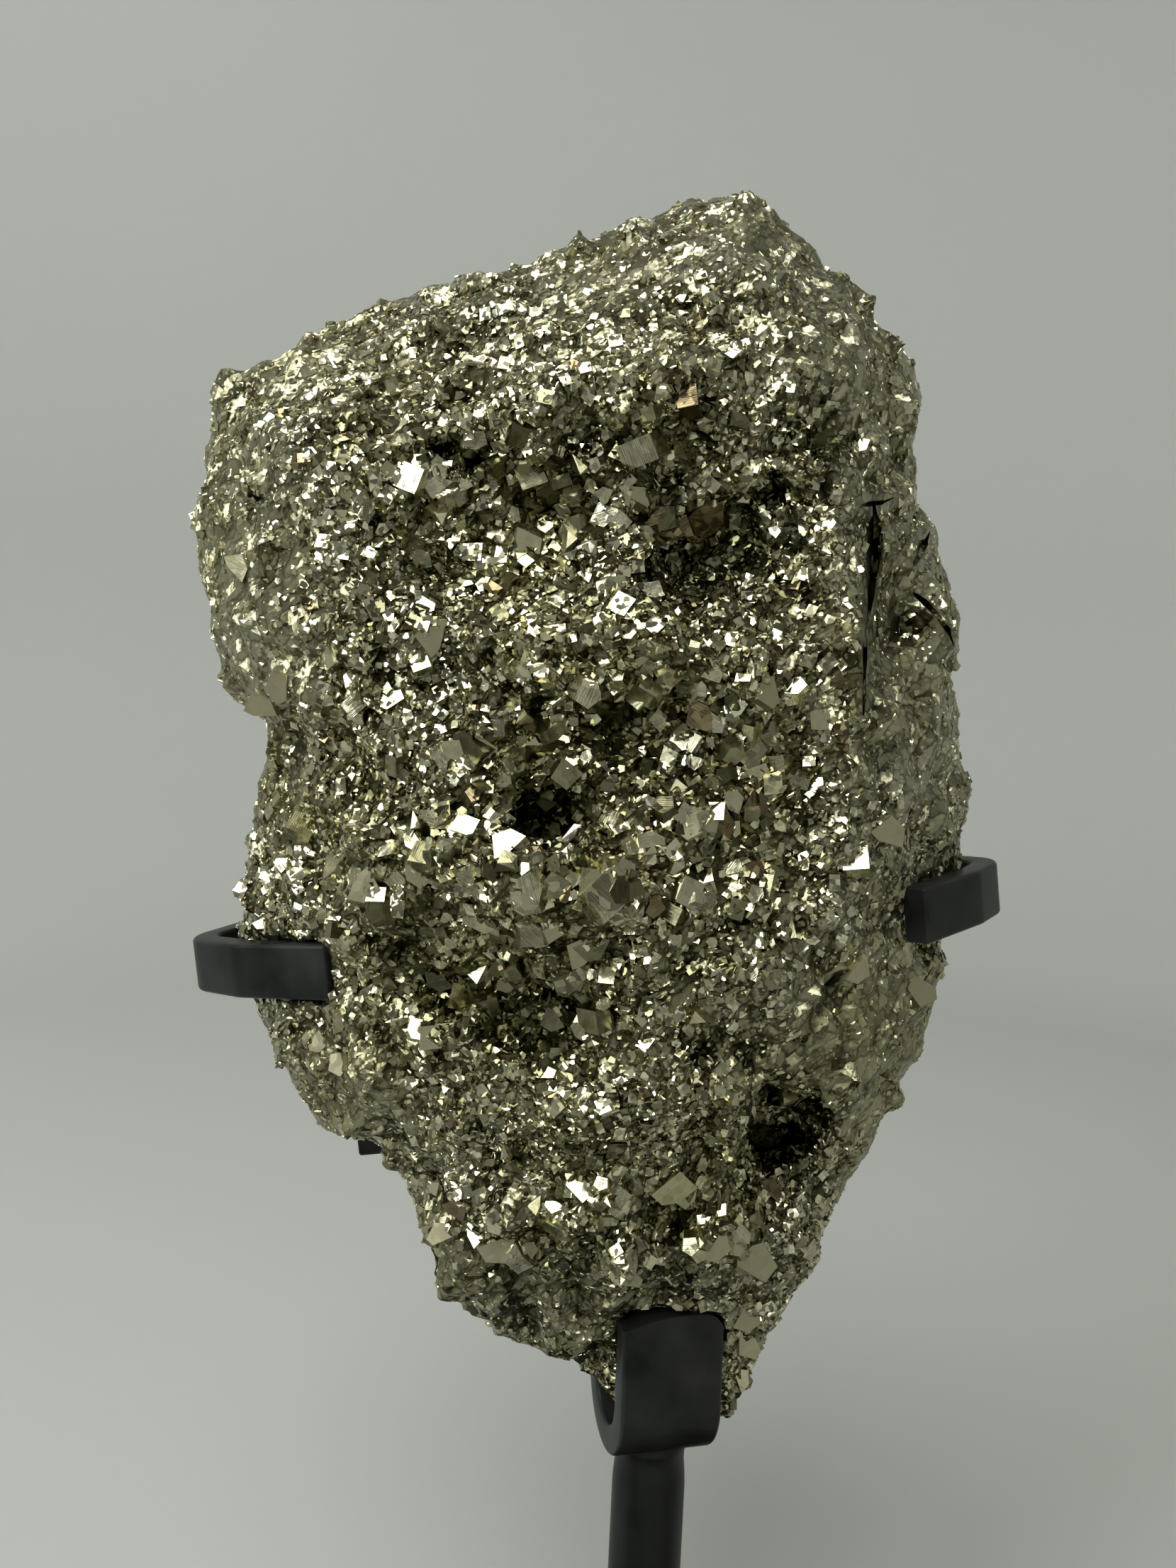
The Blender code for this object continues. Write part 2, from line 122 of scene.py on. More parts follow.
# Painted shade in the front's pockets, hollows, caves and under its overhangs, by the
# photograph's pixels: middle, half width, half height, amount
PAINTED_SHADE_ZONES = {
    "upper_pocket_left": (618, 640, 30, 34, 0.5),
    "upper_pocket_right": (668, 655, 26, 20, 0.4),
    "below_shoulder": (912, 572, 46, 26, 0.35),
    "under_brow": (985, 798, 92, 64, 1.0),
    "shoulder_end": (1010, 430, 46, 40, 0.25),
    "shoulder_start": (690, 440, 60, 46, 0.2),
    "left_of_hole": (570, 1150, 60, 30, 0.35),
    "above_ridge": (640, 860, 150, 50, 0.35),
    "second_floor": (830, 1100, 230, 60, 0.35),
    "right_ledge": (1125, 800, 44, 30, 0.35),
    "left_of_ridge": (530, 840, 60, 50, 0.3),
    "middle_left": (672, 818, 40, 30, 0.2),
    "peak_pocket": (1164, 618, 34, 34, 0.7),
    "second_hollow": (935, 1035, 60, 50, 0.5),
    "middle_hole": (758, 1128, 66, 44, 0.8),
    "brown_patch": (1060, 1120, 44, 40, 0.2),
    "lower_cave": (790, 1425, 80, 46, 0.6),
    "finger_gap": (668, 1392, 60, 34, 0.35),
    "side_cave": (1108, 1600, 38, 46, 0.55),
    "side_cave_right": (1160, 1560, 36, 24, 0.45),
    "behind_ridge": (1228, 835, 14, 130, 0.7),
    "shoulder_hollow": (1156, 624, 30, 44, 1.3),
    "between_lumps": (700, 1770, 34, 40, 0.4),
    "above_hook": (900, 1870, 60, 36, 0.35),
}

# Places where many small faces lie alike and shine together, by the photograph's pixels
GLINT_ZONES = {
    "rim_left": (400, 590, 70, 60, 0.14),
    "rim_left_low": (455, 618, 50, 24, 0.2),
    "rim_middle": (590, 510, 110, 44, 0.1),
    "rim_right": (815, 390, 60, 50, 0.15),
    "shoulder": (845, 482, 110, 56, 0.32),
    "peak": (1030, 335, 60, 50, 0.17),
    "shoulder_right": (1075, 530, 50, 70, 0.5),
    "shoulder_tip": (1062, 592, 40, 30, 0.75),
    "under_rim": (660, 575, 30, 30, 0.4),
    "upper_left": (636, 718, 46, 30, 0.6),
    "upper_middle": (804, 718, 46, 30, 0.6),
    "upper_hollow": (750, 680, 220, 80, 0.36),
    "left_face": (396, 850, 90, 120, 0.05),
    "ridge": (850, 925, 100, 36, 0.6),
    "ridge_top": (890, 890, 70, 40, 0.5),
    "ridge_right": (1020, 905, 70, 26, 0.45),
    "right_ridge": (1148, 890, 40, 34, 0.4),
    "right_face": (1284, 888, 34, 34, 1.2),
    "waist_left": (570, 990, 80, 44, 0.15),
    "centre": (700, 1180, 80, 34, 0.06),
    "waist": (740, 1340, 240, 90, 0.26),
    "left_low": (430, 1235, 110, 50, 0.08),
    "right_low": (1166, 1142, 56, 46, 0.8),
    "right_lower": (1120, 1228, 84, 38, 0.7),
    "middle_right": (1020, 1275, 60, 60, 0.5),
    "middle_glints": (1020, 1147, 30, 30, 0.3),
    "below_finger": (545, 1370, 50, 30, 0.14),
    "diagonal_upper": (900, 1430, 40, 50, 0.5),
    "diagonal": (820, 1535, 80, 50, 0.72),
    "diagonal_low": (744, 1598, 44, 34, 0.5),
    "lower_left": (588, 1464, 30, 30, 0.1),
    "bottom": (804, 1690, 50, 34, 0.19),
    "bottom_left": (672, 1764, 44, 50, 0.14),
    "bottom_right": (936, 1800, 50, 44, 0.4),
    "far_right": (1190, 1430, 40, 50, 0.25),
    "below_cave": (1140, 1642, 38, 30, 0.8),
}

# Calm places of small flat grains, by the photograph's pixels
CALM_ZONES = {
    "left_face": (340, 880, 105, 330, 0.95),
    "shoulder": (845, 482, 150, 60, 0.3),
    "top_rim_left": (420, 500, 240, 60, 0.5),
    "top_rim": (800, 370, 220, 60, 0.7),
    "peak": (1080, 310, 110, 60, 0.9),
    "upper_right": (1190, 480, 90, 150, 0.9),
    "right_face": (1300, 950, 110, 330, 0.95),
    "left_low": (480, 1560, 120, 180, 0.7),
    "bottom_left": (600, 1800, 120, 90, 0.7),
    "bottom": (820, 1850, 260, 90, 0.8),
    "right_waist": (1170, 1440, 120, 100, 0.7),
    "right_low": (1250, 1520, 130, 200, 0.85),
}

# Places where the skin swells into round lumps, by the photograph's pixels
LUMP_ZONES = {
    "bottom": (820, 1790, 320, 120, 1.0),
    "right_low": (1190, 1500, 130, 220, 0.7),
    "right_face": (1290, 850, 90, 330, 0.9),
}

# Pits, and round lumps of a depth below nought, by the photograph's pixels: middle, half
# width, half height and depth in millimetres
PITS = {
    "upper_pocket": (618, 628, 20, 28, 6.0),
    "upper_pocket_right": (665, 655, 22, 16, 5.0),
    "peak_pocket": (1160, 620, 24, 26, 5.0),
    "under_brow": (985, 795, 70, 50, 6.0),
    "left_notch": (362, 812, 16, 14, 4.0),
    "middle_hole": (772, 1142, 34, 26, 9.0),
    "lower_cave": (790, 1435, 56, 32, 6.0),
    "finger_gap": (620, 1400, 26, 14, 5.0),
    "side_cave": (1108, 1600, 30, 40, 10.0),
    "side_cave_right": (1158, 1558, 36, 24, 7.0),
    "left_face_pit": (352, 700, 14, 14, 3.0),
    "round_lump": (875, 1768, 30, 28, -4.5),
    "round_lump_left": (780, 1790, 26, 26, -4.0),
    "round_lump_low": (700, 1840, 30, 28, -3.0),
    "round_lump_edge": (640, 1800, 26, 30, -3.0),
    "lump_by_hook": (790, 1893, 34, 28, -2.5),
    "lump_gap": (828, 1768, 12, 26, 3.0),
    "lump_gap_right": (930, 1750, 16, 26, 3.0),
    "lump_gap_left": (722, 1800, 14, 26, 2.0),
}

# Places where the solid's rim is pushed to the photograph's outline: middle, half width and
# half height by its pixels, and the push to the right and up in millimetres
RIM_PUSHES = {
    "top_left": (656, 385, 30, 30, 0.3, -1.2),
    "top": (816, 330, 34, 30, 0.4, -2.2),
    "peak": (985, 290, 50, 40, 0.0, 0.8),
    "peak_right": (1050, 280, 30, 30, 0.0, -0.8),
    "top_right": (1240, 430, 34, 44, -1.6, -0.4),
    "shoulder_right": (1291, 524, 40, 40, 1.2, 0.6),
    "right_high": (1320, 768, 40, 40, -1.3, 0.0),
    "right": (1364, 932, 30, 46, -1.6, 0.0),
    "right_low": (1258, 1584, 44, 46, -0.6, 4.6),
    "right_lowest": (1176, 1712, 34, 34, -0.8, 0.4),
    "right_lower_edge": (1158, 1786, 34, 36, 2.0, -0.8),
    "right_lowest_rim": (1091, 1875, 34, 34, 1.2, -0.5),
    "tip": (1045, 1985, 42, 56, 1.9, -2.2),
    "beside_hook": (837, 1953, 40, 30, -0.3, 1.5),
    "bottom": (735, 1891, 30, 26, 0.0, 1.2),
    "bottom_left": (572, 1712, 34, 50, -1.4, -0.6),
    "bottom_corner": (606, 1800, 34, 34, -1.0, -1.0),
    "left_step": (461, 1595, 40, 34, -1.2, -1.3),
    "left_waist": (372, 1123, 40, 50, -1.9, 0.0),
    "left_notch": (385, 1025, 40, 36, 1.5, 0.0),
    "left_lobe": (299, 952, 36, 40, 2.0, 0.0),
}

# Places too deep for crystals, by the photograph's pixels
BARE_ZONES = {
    "side_cave": (1094, 1606, 36, 40, 1.0),
    "side_cave_right": (1152, 1556, 44, 18, 1.0),
    "upper_pocket": (616, 628, 24, 28, 1.0),
    "upper_pocket_right": (664, 655, 26, 16, 1.0),
    "left_triangle": (363, 806, 15, 13, 1.0),
}
BARE_FROM = 0.5

# The cleft down the right of the front and the creases beside it: lines of the photograph's
# pixels with half widths in millimetres, how deep they are in millimetres, and how far from
# them nothing grows
CLEFTS = {
    "cleft": (4.0, [(1232, 706, 0.2), (1236, 735, 1.3), (1236, 790, 1.2), (1228, 850, 0.7),
                    (1221, 900, 0.5), (1219, 985, 0.3), (1218, 1010, 0.1)]),
    "branch": (3.0, [(1216, 713, 0.1), (1226, 711, 0.7), (1244, 709, 0.6), (1262, 702, 0.1)]),
    "upper_crease": (3.0, [(1312, 750, 0.1), (1305, 766, 1.2), (1296, 784, 0.9),
                           (1289, 798, 0.1)]),
    "lower_crease": (3.0, [(1288, 836, 0.1), (1304, 849, 0.9), (1322, 868, 0.8), (1338, 890, 0.8),
                           (1346, 912, 0.1)]),
}
CLEFT_FRONT = 9.0 * MM
CLEFT_FLARE = (1.8, 0.4)
CLEFT_BARE = 1.2 * MM
CLEFT_EDGE = 2.0 * MM
CLEFT_ROOM = 0.4 * MM

# Where the photograph's rim is blunter than the solid's: pixels and half sizes
BLUNT_SPOTS = {
    "right_low": (1280, 1597, 26, 24),
    "right": (1366, 934, 24, 30),
    "left": (290, 888, 24, 24),
    "left_low": (367, 1049, 18, 16),
}
BLUNT_FROM = 0.35
BLUNT_TURNS = 20

# Large crystals, by the photograph's pixels: x, y, size in millimetres, shape, aim and finish.
# The aim is glint for a face that throws the overhead light at the viewer, or a turn in degrees
# right and up from a face that looks at the viewer.
LARGE_CRYSTALS = [
    (718, 1196, 6.8, "plate", "glint", "clean"),
    (656, 1170, 4.0, "cube", (-12, 24), "clean"),
    (1208, 1216, 5.0, "cube", "glint", "clean"),
    (963, 621, 5.2, "plate", "glint", "clean"),
    (602, 858, 4.6, "second_plate", "glint", "clean"),
    (594, 940, 4.0, "cube", "glint", "clean"),
    (493, 963, 3.4, "plate", "glint", "clean"),
    (556, 993, 4.8, "second_plate", "glint", "clean"),
    (504, 994, 4.4, "cube", (-13, 24), "clean"),
    (662, 967, 3.6, "plate", "glint", "clean"),
    (418, 1018, 3.0, "plate", "glint", "clean"),
    (770, 746, 4.0, "plate", "glint", "clean"),
    (692, 695, 4.4, "second_plate", (-12, 22), "clean"),
    (586, 1467, 3.8, "plate", "glint", "clean"),
    (602, 1483, 3.0, "cube", "glint", "clean"),
    (369, 1306, 3.8, "plate", "glint", "clean"),
    (532, 1266, 3.4, "cube", "glint", "clean"),
    (532, 1369, 3.6, "second_plate", "glint", "clean"),
    (584, 1527, 3.0, "plate", "glint", "clean"),
    (771, 1518, 3.8, "second_plate", "glint", "clean"),
    (858, 1378, 3.6, "cube", "glint", "clean"),
    (828, 1363, 3.2, "plate", "glint", "clean"),
    (1009, 1150, 4.2, "cube", "glint", "clean"),
    (820, 1680, 7.0, "second_plate", "glint", "clean"),
    (781, 1703, 4.0, "plate", "glint", "clean"),
    (673, 1746, 4.4, "plate", (-12, 22), "clean"),
    (1016, 1710, 3.4, "plate", "glint", "clean"),
    (1216, 632, 3.4, "second_plate", "glint", "clean"),
    (1326, 856, 2.4, "cube", "glint", "clean"),
    (958, 1793, 3.0, "plate", "glint", "clean"),
    (918, 840, 4.2, "cube", (-12, 20), "clean"),
    (1015, 1017, 4.8, "pyritohedron", (-4, 14), "pale"),
    (918, 1136, 4.2, "shard", (0, 10), "pale"),
    (982, 1164, 6.8, "pyritohedron", (10, 4), "dull"),
    (751, 1171, 5.8, "shard", (10, 4), "pale"),
    (811, 1179, 5.0, "second_shard", (0, 8), "pale"),
    (832, 780, 5.0, "shard", (4, 8), "pale"),
    (942, 734, 10.5, "plate", (14, -10), "brown"),
    (981, 722, 10.5, "second_plate", (20, -8), "brown"),
    (987, 1003, 8.0, "plate", (16, -12), "brown"),
    (1064, 1122, 9.0, "plate", (20, -14), "brown"),
    (1186, 960, 5.0, "plate", (14, -4), "brown"),
    (896, 700, 8.0, "plate", (14, 2), "dull"),
    (863, 832, 5.5, "plate", (26, -14), "olive"),
    (494, 700, 6.0, "plate", (16, 0), "dull"),
    (486, 731, 5.2, "plate", (10, 6), "dull"),
    (551, 665, 5.0, "second_plate", (16, 0), "dull"),
    (740, 776, 7.5, "plate", (14, -2), "dull"),
    (702, 806, 5.6, "second_plate", (16, -4), "dull"),
    (609, 896, 7.5, "plate", (12, 2), "dull"),
    (343, 801, 6.4, "plate", (-20, 0), "dull"),
    (378, 992, 8.0, "plate", (-24, -4), "dull"),
    (398, 967, 6.0, "second_plate", (-10, -8), "dull"),
    (639, 1057, 6.0, "second_plate", (12, 0), "dull"),
    (676, 1067, 7.5, "plate", (14, -6), "dull"),
    (752, 1067, 7.5, "plate", (26, -18), "olive"),
    (1078, 976, 6.0, "second_plate", (14, 0), "dull"),
    (1159, 1012, 6.4, "plate", (18, 4), "dull"),
    (960, 1120, 5.0, "plate", (8, 4), "dull"),
    (592, 1229, 6.5, "plate", (12, 0), "dull"),
    (513, 1252, 7.0, "plate", (16, -2), "dull"),
    (778, 1252, 7.0, "plate", (18, -10), "olive"),
    (838, 1252, 6.5, "cube", (28, -10), "olive"),
    (771, 1312, 6.5, "plate", (14, -6), "dull"),
    (824, 1335, 7.5, "plate", (16, -4), "dull"),
    (655, 1398, 6.5, "cube", (20, -10), "olive"),
    (1243, 1171, 9.0, "plate", (26, 0), "dull"),
    (969, 1260, 5.0, "cube", (26, 4), "clean"),
    (1290, 1396, 8.5, "second_plate", (34, 0), "dull"),
    (1204, 1366, 6.5, "plate", (28, -4), "dull"),
    (453, 1471, 5.4, "plate", (-8, 0), "dull"),
    (482, 1500, 5.0, "second_plate", (-4, -6), "dull"),
    (480, 1440, 5.0, "plate", (2, -10), "olive"),
    (646, 1702, 6.0, "plate", (14, -6), "brown"),
    (624, 1741, 5.6, "second_plate", (4, 4), "dull"),
    (700, 1760, 8.0, "plate", (10, -6), "dull"),
    (736, 1762, 5.6, "second_plate", (16, -2), "olive"),
    (958, 1688, 5.0, "second_plate", (12, 0), "dull"),
    (942, 1663, 4.4, "plate", (12, 4), "dull"),
    (1003, 1752, 8.0, "plate", (20, -4), "dull"),
    (1058, 1778, 9.0, "second_plate", (24, -6), "dull"),
    (1082, 1679, 6.0, "plate", (20, -2), "brown"),
    (1136, 1762, 5.0, "plate", (40, -10), "olive"),
    (1050, 1856, 7.0, "plate", (24, -2), "dull"),
    (1054, 1890, 7.0, "second_plate", (26, -6), "dull"),
    (1040, 1942, 5.6, "plate", (26, -12), "olive"),
]

# The skin: its knobs and lumps, its wear and the room that the straps leave
KNOB_LEVEL = 0.42
SMALL_KNOB = 0.45
SMALL_KNOB_HEIGHT = 0.35
LUMP_SPACING = 13 * MM
LUMP_HEIGHT = 8 * MM
SKIN_INSET = 0.6 * MM
WEAR = (0.5, -0.53)
WEAR_STEPS = 18
ROOM_REACH = 12 * MM
ROOM_LEAST = 0.6 * MM
ROOM_EDGE = 4 * MM
WANDER_SIZE = 6 * MM
WANDER_PIXELS = 26
FRONT_DEPTH = 14 * MM
RIM_FACING = 0.5
BACK_CALM = 0.6
# Painted shade: how much calm lessens it, the cavity depth that takes it fully, its share and most
CALM_PALER = 0.3
CAVITY_DEPTH = 1.6 * MM
CAVITY_PAINTED_SHADE = 0.5
MOST_PAINTED_SHADE = 0.9
MOST_GLINT = 0.8
GRAIN_PATCH = 34 * MM
GRAIN_SPECKLE = 9 * MM
TONE_PATCH = 3 * MM
SIDE_FACING = 0.2

# The crystals: their shapes, then how each kind grows
FULL_TURN = 2 * math.pi
SHARD_CORNERS = 9
PLATE_CORNERS = 5
CRYSTAL_INPUTS = ("Spacing", "Smallest", "Largest", "Sunk", "Grain from", "Depth from", "Depth to",
                  "Height from", "Height to", "Cluster", "Loose share", "Tilt", "Calming",
                  "Thinning", "Parting", "Shining")
FINE_SHAPES = ("cube", "plate", "second_plate", "shard", "second_shard")
BLOCK_SHAPES = ("cut_cube", "pyritohedron", "plate", "second_plate", "shard", "second_shard")
CRYSTAL_DENSITY = 1500000.0
CALM_SUNK = 0.16
CALM_TILT = 0.75
CALM_LOOSE = 0.8
LEAST_ROOM = 0.7 * MM
ROOM_FOR_SIZE = 1.5
GRAIN_SPREAD = 0.12
THINNEST = (0.7, 0.7, 0.6)
WIDEST = (1.25, 1.25, 1.0)
GLINT_LEAN = 0.1
FAR = 1.0
FINE_BANDS = (-0.1, 0.3, 0.52, 0.72, 1.1)
BACK_COARSER = 1.8
FINE_GROWTH = {"Sunk": 0.1, "Loose share": 0.2, "Tilt": 0.42, "Calming": 0.5, "Thinning": 0.5,
               "Parting": 0.6, "Shining": 1.0, "Grain from": -1.0}
BLOCK_GROWTH = {"Sunk": 0.22, "Loose share": 0.4, "Tilt": 0.6, "Calming": 0.3, "Thinning": 1.0,
                "Parting": 0.0, "Shining": 0.03, "Grain from": 0.35}
FINE_SMALLEST = 0.3
BLOCK_SMALLEST = 0.4
FINE_TURN_SPREAD = 0.35
BLOCK_TURN_SPREAD = 0.9
LARGE_SUNK = 0.26
GLINT_SUNK = 0.12
ALONG_SKIN = 0.7

# The crystals' tones, which choose their colours in the shader
DULL_TONE = 0.955
PALE_TONE = 0.97
TONES = {"clean": 0.3, "olive": 0.6, "brown": 0.02, "dull": 0.96, "pale": 0.99}

# The pyrite finishes: painted shade, roughness, size and tilt of the small faces, growth lines
FINISHES = {
    "pyrite_skin": (0.42, 0.22, 0.7 * MM, 0.3, 0.0),
    "pyrite_fine": (0.0, 0.11, 1.0 * MM, 0.5, 0.0),
    "pyrite_block": (0.0, 0.10, 1.6 * MM, 0.12, 0.25),
}

# The stand, as the solids have it, in millimetres
HOOK_WIDTH = 22.0
HOOK_THICKNESS = 6.0
HOOK_TURN = math.radians(14)
HOOK_BOTTOM = 107.5
HOOK_DEPTH = 27.0
LIP_TOP = 142.0
LIP_LEAN = 1.0
LIP_SLOPE = math.radians(9)
LIP_CORNER = 4.5
LIP_CROWN = 1.2
ROUND_STEPS = 6
HOOK_LEG_TOP = 133.0
SPINE_WIDTH = 20.0
SPINE_THICKNESS = 6.0
SPINE_POINTS = [(19.4, 116.0), (19.4, 131.0), (32.6, 150.0), (32.6, 184.0), (49.1, 206.0),
                (49.1, 242.0)]
SPINE_BEND = 8.0
PACKING_SIDES = (-9.0, 2.0)
PACKING_HEIGHTS = (117.5, 129.5)
PACKING_ROOT = 1.0
PACKING_BITE = 0.2
CLAW_HEIGHT = 11.5
CLAW_THICKNESS = 5.5
CLAW_TILT = math.radians(8.0)
CLAW_MIDDLE_Z = 222.0
LEFT_FINGER = [(-70.5, -13.0), (-92.0, -2.5), (-105.5, 9.5), (-97.0, 27.0), (-50.0, 43.0)]
RIGHT_FINGER = [(48.0, 43.0), (62.0, 27.0), (71.5, 12.0), (63.0, 0.5), (47.5, -13.5)]
CLAW_BEND = 7.5
LOWER_ENDS = (-72.0, 36.0)
LOWER_MIDDLE_Z = 174.5
LOWER_Y = 26.5
BEND_STEPS = 10
END_ROUNDING = 0.8
DISC_ROUNDING = 0.2
BEVEL_ANGLE = math.radians(50)
SHARP_ANGLE = math.radians(35)
FOOT_EDGE = 1.6
FOOT_SEGMENTS = 128
POST_SEGMENTS = 72
FOOT_WELD = 2.2
WELD_STEEPNESS = 1.6
WELD_STEP = 0.4
# The post's top, welded to the hook: how much wider than the post, and how high above the
# hook's bottom
POST_WELD = [(0.0, -9.0), (-0.25, -5.5), (-0.5, -3.0), (-0.4, -1.2), (-0.1, 0.3), (0.2, 1.6),
             (-0.4, 3.4)]

# The stage and its lights, in metres; the floor lies a little below the foot, in millimetres
KEY_PLACE = (-0.45, -0.75, 1.55)
KEY_SIZE = (1.1, 0.9)
FRONT_PLACE = (-1.0, -0.75, 0.75)
FRONT_SIZE = (0.5, 0.7)
WALL_PLACE = (-0.55, 0.4, 1.5)
WALL_TARGET = (-0.75, 1.1, 1.0)
WALL_SIZE = (0.5, 0.3)
WARM = (1.0, 0.985, 0.95)
COOL = (0.97, 0.99, 1.0)
WHITE = (1.0, 1.0, 1.0)
ROOM_STEPS = [(0.0, 0.04, 0.04, 0.036), (0.45, 0.09, 0.09, 0.082), (0.55, 0.46, 0.47, 0.43),
              (1.0, 0.85, 0.86, 0.80)]
STAGE_RADIUS = 1.3
STAGE_CURVE = 0.45
STAGE_HEIGHT = 1.35
STAGE_DROP = 0.3
STAGE_STEPS = 12
STAGE_SEGMENTS = 96


def length(name, description, millimetres, **limits):
    """A setting of a length."""
    return FloatProperty(name=name, description=description, default=millimetres * MM,
                         unit="LENGTH", **limits)


def amount(name, description, default):
    """A setting of a number."""
    return FloatProperty(name=name, description=description, default=default)


def tint(name, description, *channels):
    """A setting of a colour."""
    return FloatVectorProperty(name=name, description=description, subtype="COLOR", size=4,
                               default=channels + (1.0,), min=0.0, max=1.0)


class StoneLooks(bpy.types.PropertyGroup):
    """Sizes and colours of the stone."""

    skin_step: length("Skin step", "Edge length of the skin's mesh", 1.7, min=1.0 * MM)
    knob_spacing: length("Knob spacing", "Distance between the skin's small knobs", 8.5)
    knob_height: length("Knob height", "Height of the skin's small knobs", 3.0)
    fine_spacing: length("Fine spacing", "Least distance between fine crystals", 1.05)
    fine_size: length("Fine size", "Largest size of the fine crystals", 3.3)
    block_spacing: length("Block spacing", "Least distance between block crystals", 3.6)
    block_size: length("Block size", "Largest size of the block crystals", 6.8)
    rock_size: length("Rock size", "How large the broken faces of the bare skin are", 2.7)
    cluster: length("Cluster", "Width of a group of crystals that share one turn", 8.0)
    seed: IntProperty(name="Seed", description="Seed of the crystals' places", default=5)
    brass: tint("Brass", "Clean pyrite", 0.65, 0.635, 0.495)
    olive: tint("Olive", "Lightly tarnished pyrite", 0.45, 0.435, 0.25)
    dull: tint("Dull", "Large faces under a dull film", 0.46, 0.44, 0.29)
    brown: tint("Brown", "Tarnished faces", 0.17, 0.13, 0.068)
    pale: tint("Pale", "Pale lumps between the crystals", 0.66, 0.64, 0.55)
    # The colour of tarnished crystals and patches, and of the painted shade between the crystals,
    # in hollows and in crevices
    gap: tint("Gap", "Dark skin between the crystals", 0.075, 0.073, 0.034)


class StandLooks(bpy.types.PropertyGroup):
    """Sizes and colours of the stand."""

    edge: length("Edge radius", "Rounding of the straps' long edges", 0.8)
    paint: tint("Paint", "Satin black paint", 0.003, 0.0042, 0.0038)
    worn: tint("Worn paint", "Paint rubbed thin on the edges", 0.045, 0.047, 0.046)


class StageLooks(bpy.types.PropertyGroup):
    """The stage and its lights."""

    paper: tint("Paper", "Pale floor and backdrop", 0.485, 0.50, 0.475)
    key_power: amount("Overhead power", "Power of the overhead light", 22.0)
    front_power: amount("Front power", "Power of the front left light", 9.0)
    wall_power: amount("Wall power", "Power of the light on the backdrop's left", 1.5)
    room: amount("Room light", "Strength of the dim room beyond the stage", 0.8)


class Wire:
    """An output of a node tree. Arithmetic on it adds Math nodes."""

    def __init__(self, tree, socket=None):
        self.tree = tree
        self.socket = socket

    def node(self, kind, settings=None, values=None, output=0):
        """Add a node, set it up, fill its inputs with values or links, and give one output."""
        made = self.tree.nodes.new(kind)
        for name, value in (settings or {}).items():
            setattr(made, name, value)
        for name, value in (values or {}).items():
            plug(self.tree, made, name, value)
        if output is None:
            return Wire(self.tree)
        return Wire(self.tree, open_socket(made.outputs, output))

    def other(self, output):
        """Another output of the same node."""
        return Wire(self.tree, open_socket(self.socket.node.outputs, output))

    def coordinates(self, kind):
        """The Object, UV or Generated coordinates."""
        return self.node("ShaderNodeTexCoord", output=kind)

    def attribute(self, name):
        """A number kept on the mesh, for a shader."""
        return self.node("ShaderNodeAttribute", {"attribute_name": name}, output="Fac")

    def noise(self, place, scale, detail, output="Fac"):
        """Noise of a scale at a place."""
        return self.node("ShaderNodeTexNoise", {}, {"Vector": place, "Scale": scale,
                                                    "Detail": detail}, output)

    def cells(self, place, size, feature="F1", output="Color"):
        """Cells of a size at a place, with a colour each or another measure."""
        return self.node("ShaderNodeTexVoronoi", {"feature": feature},
                         {"Vector": place, "Scale": 1 / size}, output)

    def stepped(self, *stops):
        """This wire through a colour ramp of positions with levels or colours."""
        ramp = self.node("ShaderNodeValToRGB", {}, {"Fac": self}, "Color")
        elements = ramp.socket.node.color_ramp.elements
        while len(elements) < len(stops):
            elements.new(1.0)
        for element, (position, *channels) in zip(elements, stops):
            element.position = position
            element.color = (channels * 3)[:3] + [1.0]
        return ramp

    def mixed(self, first, second, share):
        """A colour between two colours."""
        return self.node("ShaderNodeMix", {"data_type": "RGBA"},
                         {"Factor": share, "A": first, "B": second}, "Result")

    def maths(self, operation, *values):
        """A Math node on this wire and more values."""
        numbered = dict(enumerate((self,) + values))
        return self.node("ShaderNodeMath", {"operation": operation}, numbered)

    def vector(self, operation, *values):
        """A Vector Math node on this wire and more values."""
        numbered = dict(enumerate((self,) + values))
        return self.node("ShaderNodeVectorMath", {"operation": operation}, numbered)

    def scaled(self, factor):
        """This vector made longer by a factor."""
        return self.node("ShaderNodeVectorMath", {"operation": "SCALE"},
                         {0: self, "Scale": factor})

    def centred(self):
        """This colour as a vector about nought."""
        return self.vector("SUBTRACT", (0.5, 0.5, 0.5))

    def towards(self, place):
        """The direction from this place to another."""
        return self.scaled(-1.0).vector("ADD", place).vector("NORMALIZE")

    def __add__(self, other):
        return self.maths("ADD", other)

    __radd__ = __add__

    def __sub__(self, other):
        return self.maths("SUBTRACT", other)

    def __rsub__(self, other):
        return (self * -1.0) + other

    def __mul__(self, other):
        return self.maths("MULTIPLY", other)

    __rmul__ = __mul__

    def above(self, value):
        """One where this wire is above a value, else nought."""
        return self.maths("GREATER_THAN", value)

    def below(self, value):
        """One where this wire is below a value, else nought."""
        return self.maths("LESS_THAN", value)

    def clamped(self):
        """This wire held between nought and one."""
        return self.maths("MAXIMUM", 0.0).maths("MINIMUM", 1.0)


def open_socket(sockets, key):
    """The socket at an index, or the first one in use that has a name."""
    if isinstance(key, int):
        return sockets[key]
    return next(socket for socket in sockets if socket.name == key and socket.enabled)


def plug(tree, node, key, value):
    """Link a wire to a node's input, or set the input's value."""
    socket = open_socket(node.inputs, key)
    if isinstance(value, Wire):
        tree.links.new(value.socket, socket)
    else:
        socket.default_value = value


def new_shader(name):
    """A material, its Principled node and a wire to start from."""
    material = bpy.data.materials.new(name)
    material.use_nodes = True
    return material, material.node_tree.nodes["Principled BSDF"], Wire(material.node_tree)


def plug_all(shader, wires):
    """Link wires to a shader's inputs by name."""
    for name, wire in wires.items():
        plug(wire.tree, shader, name, wire)


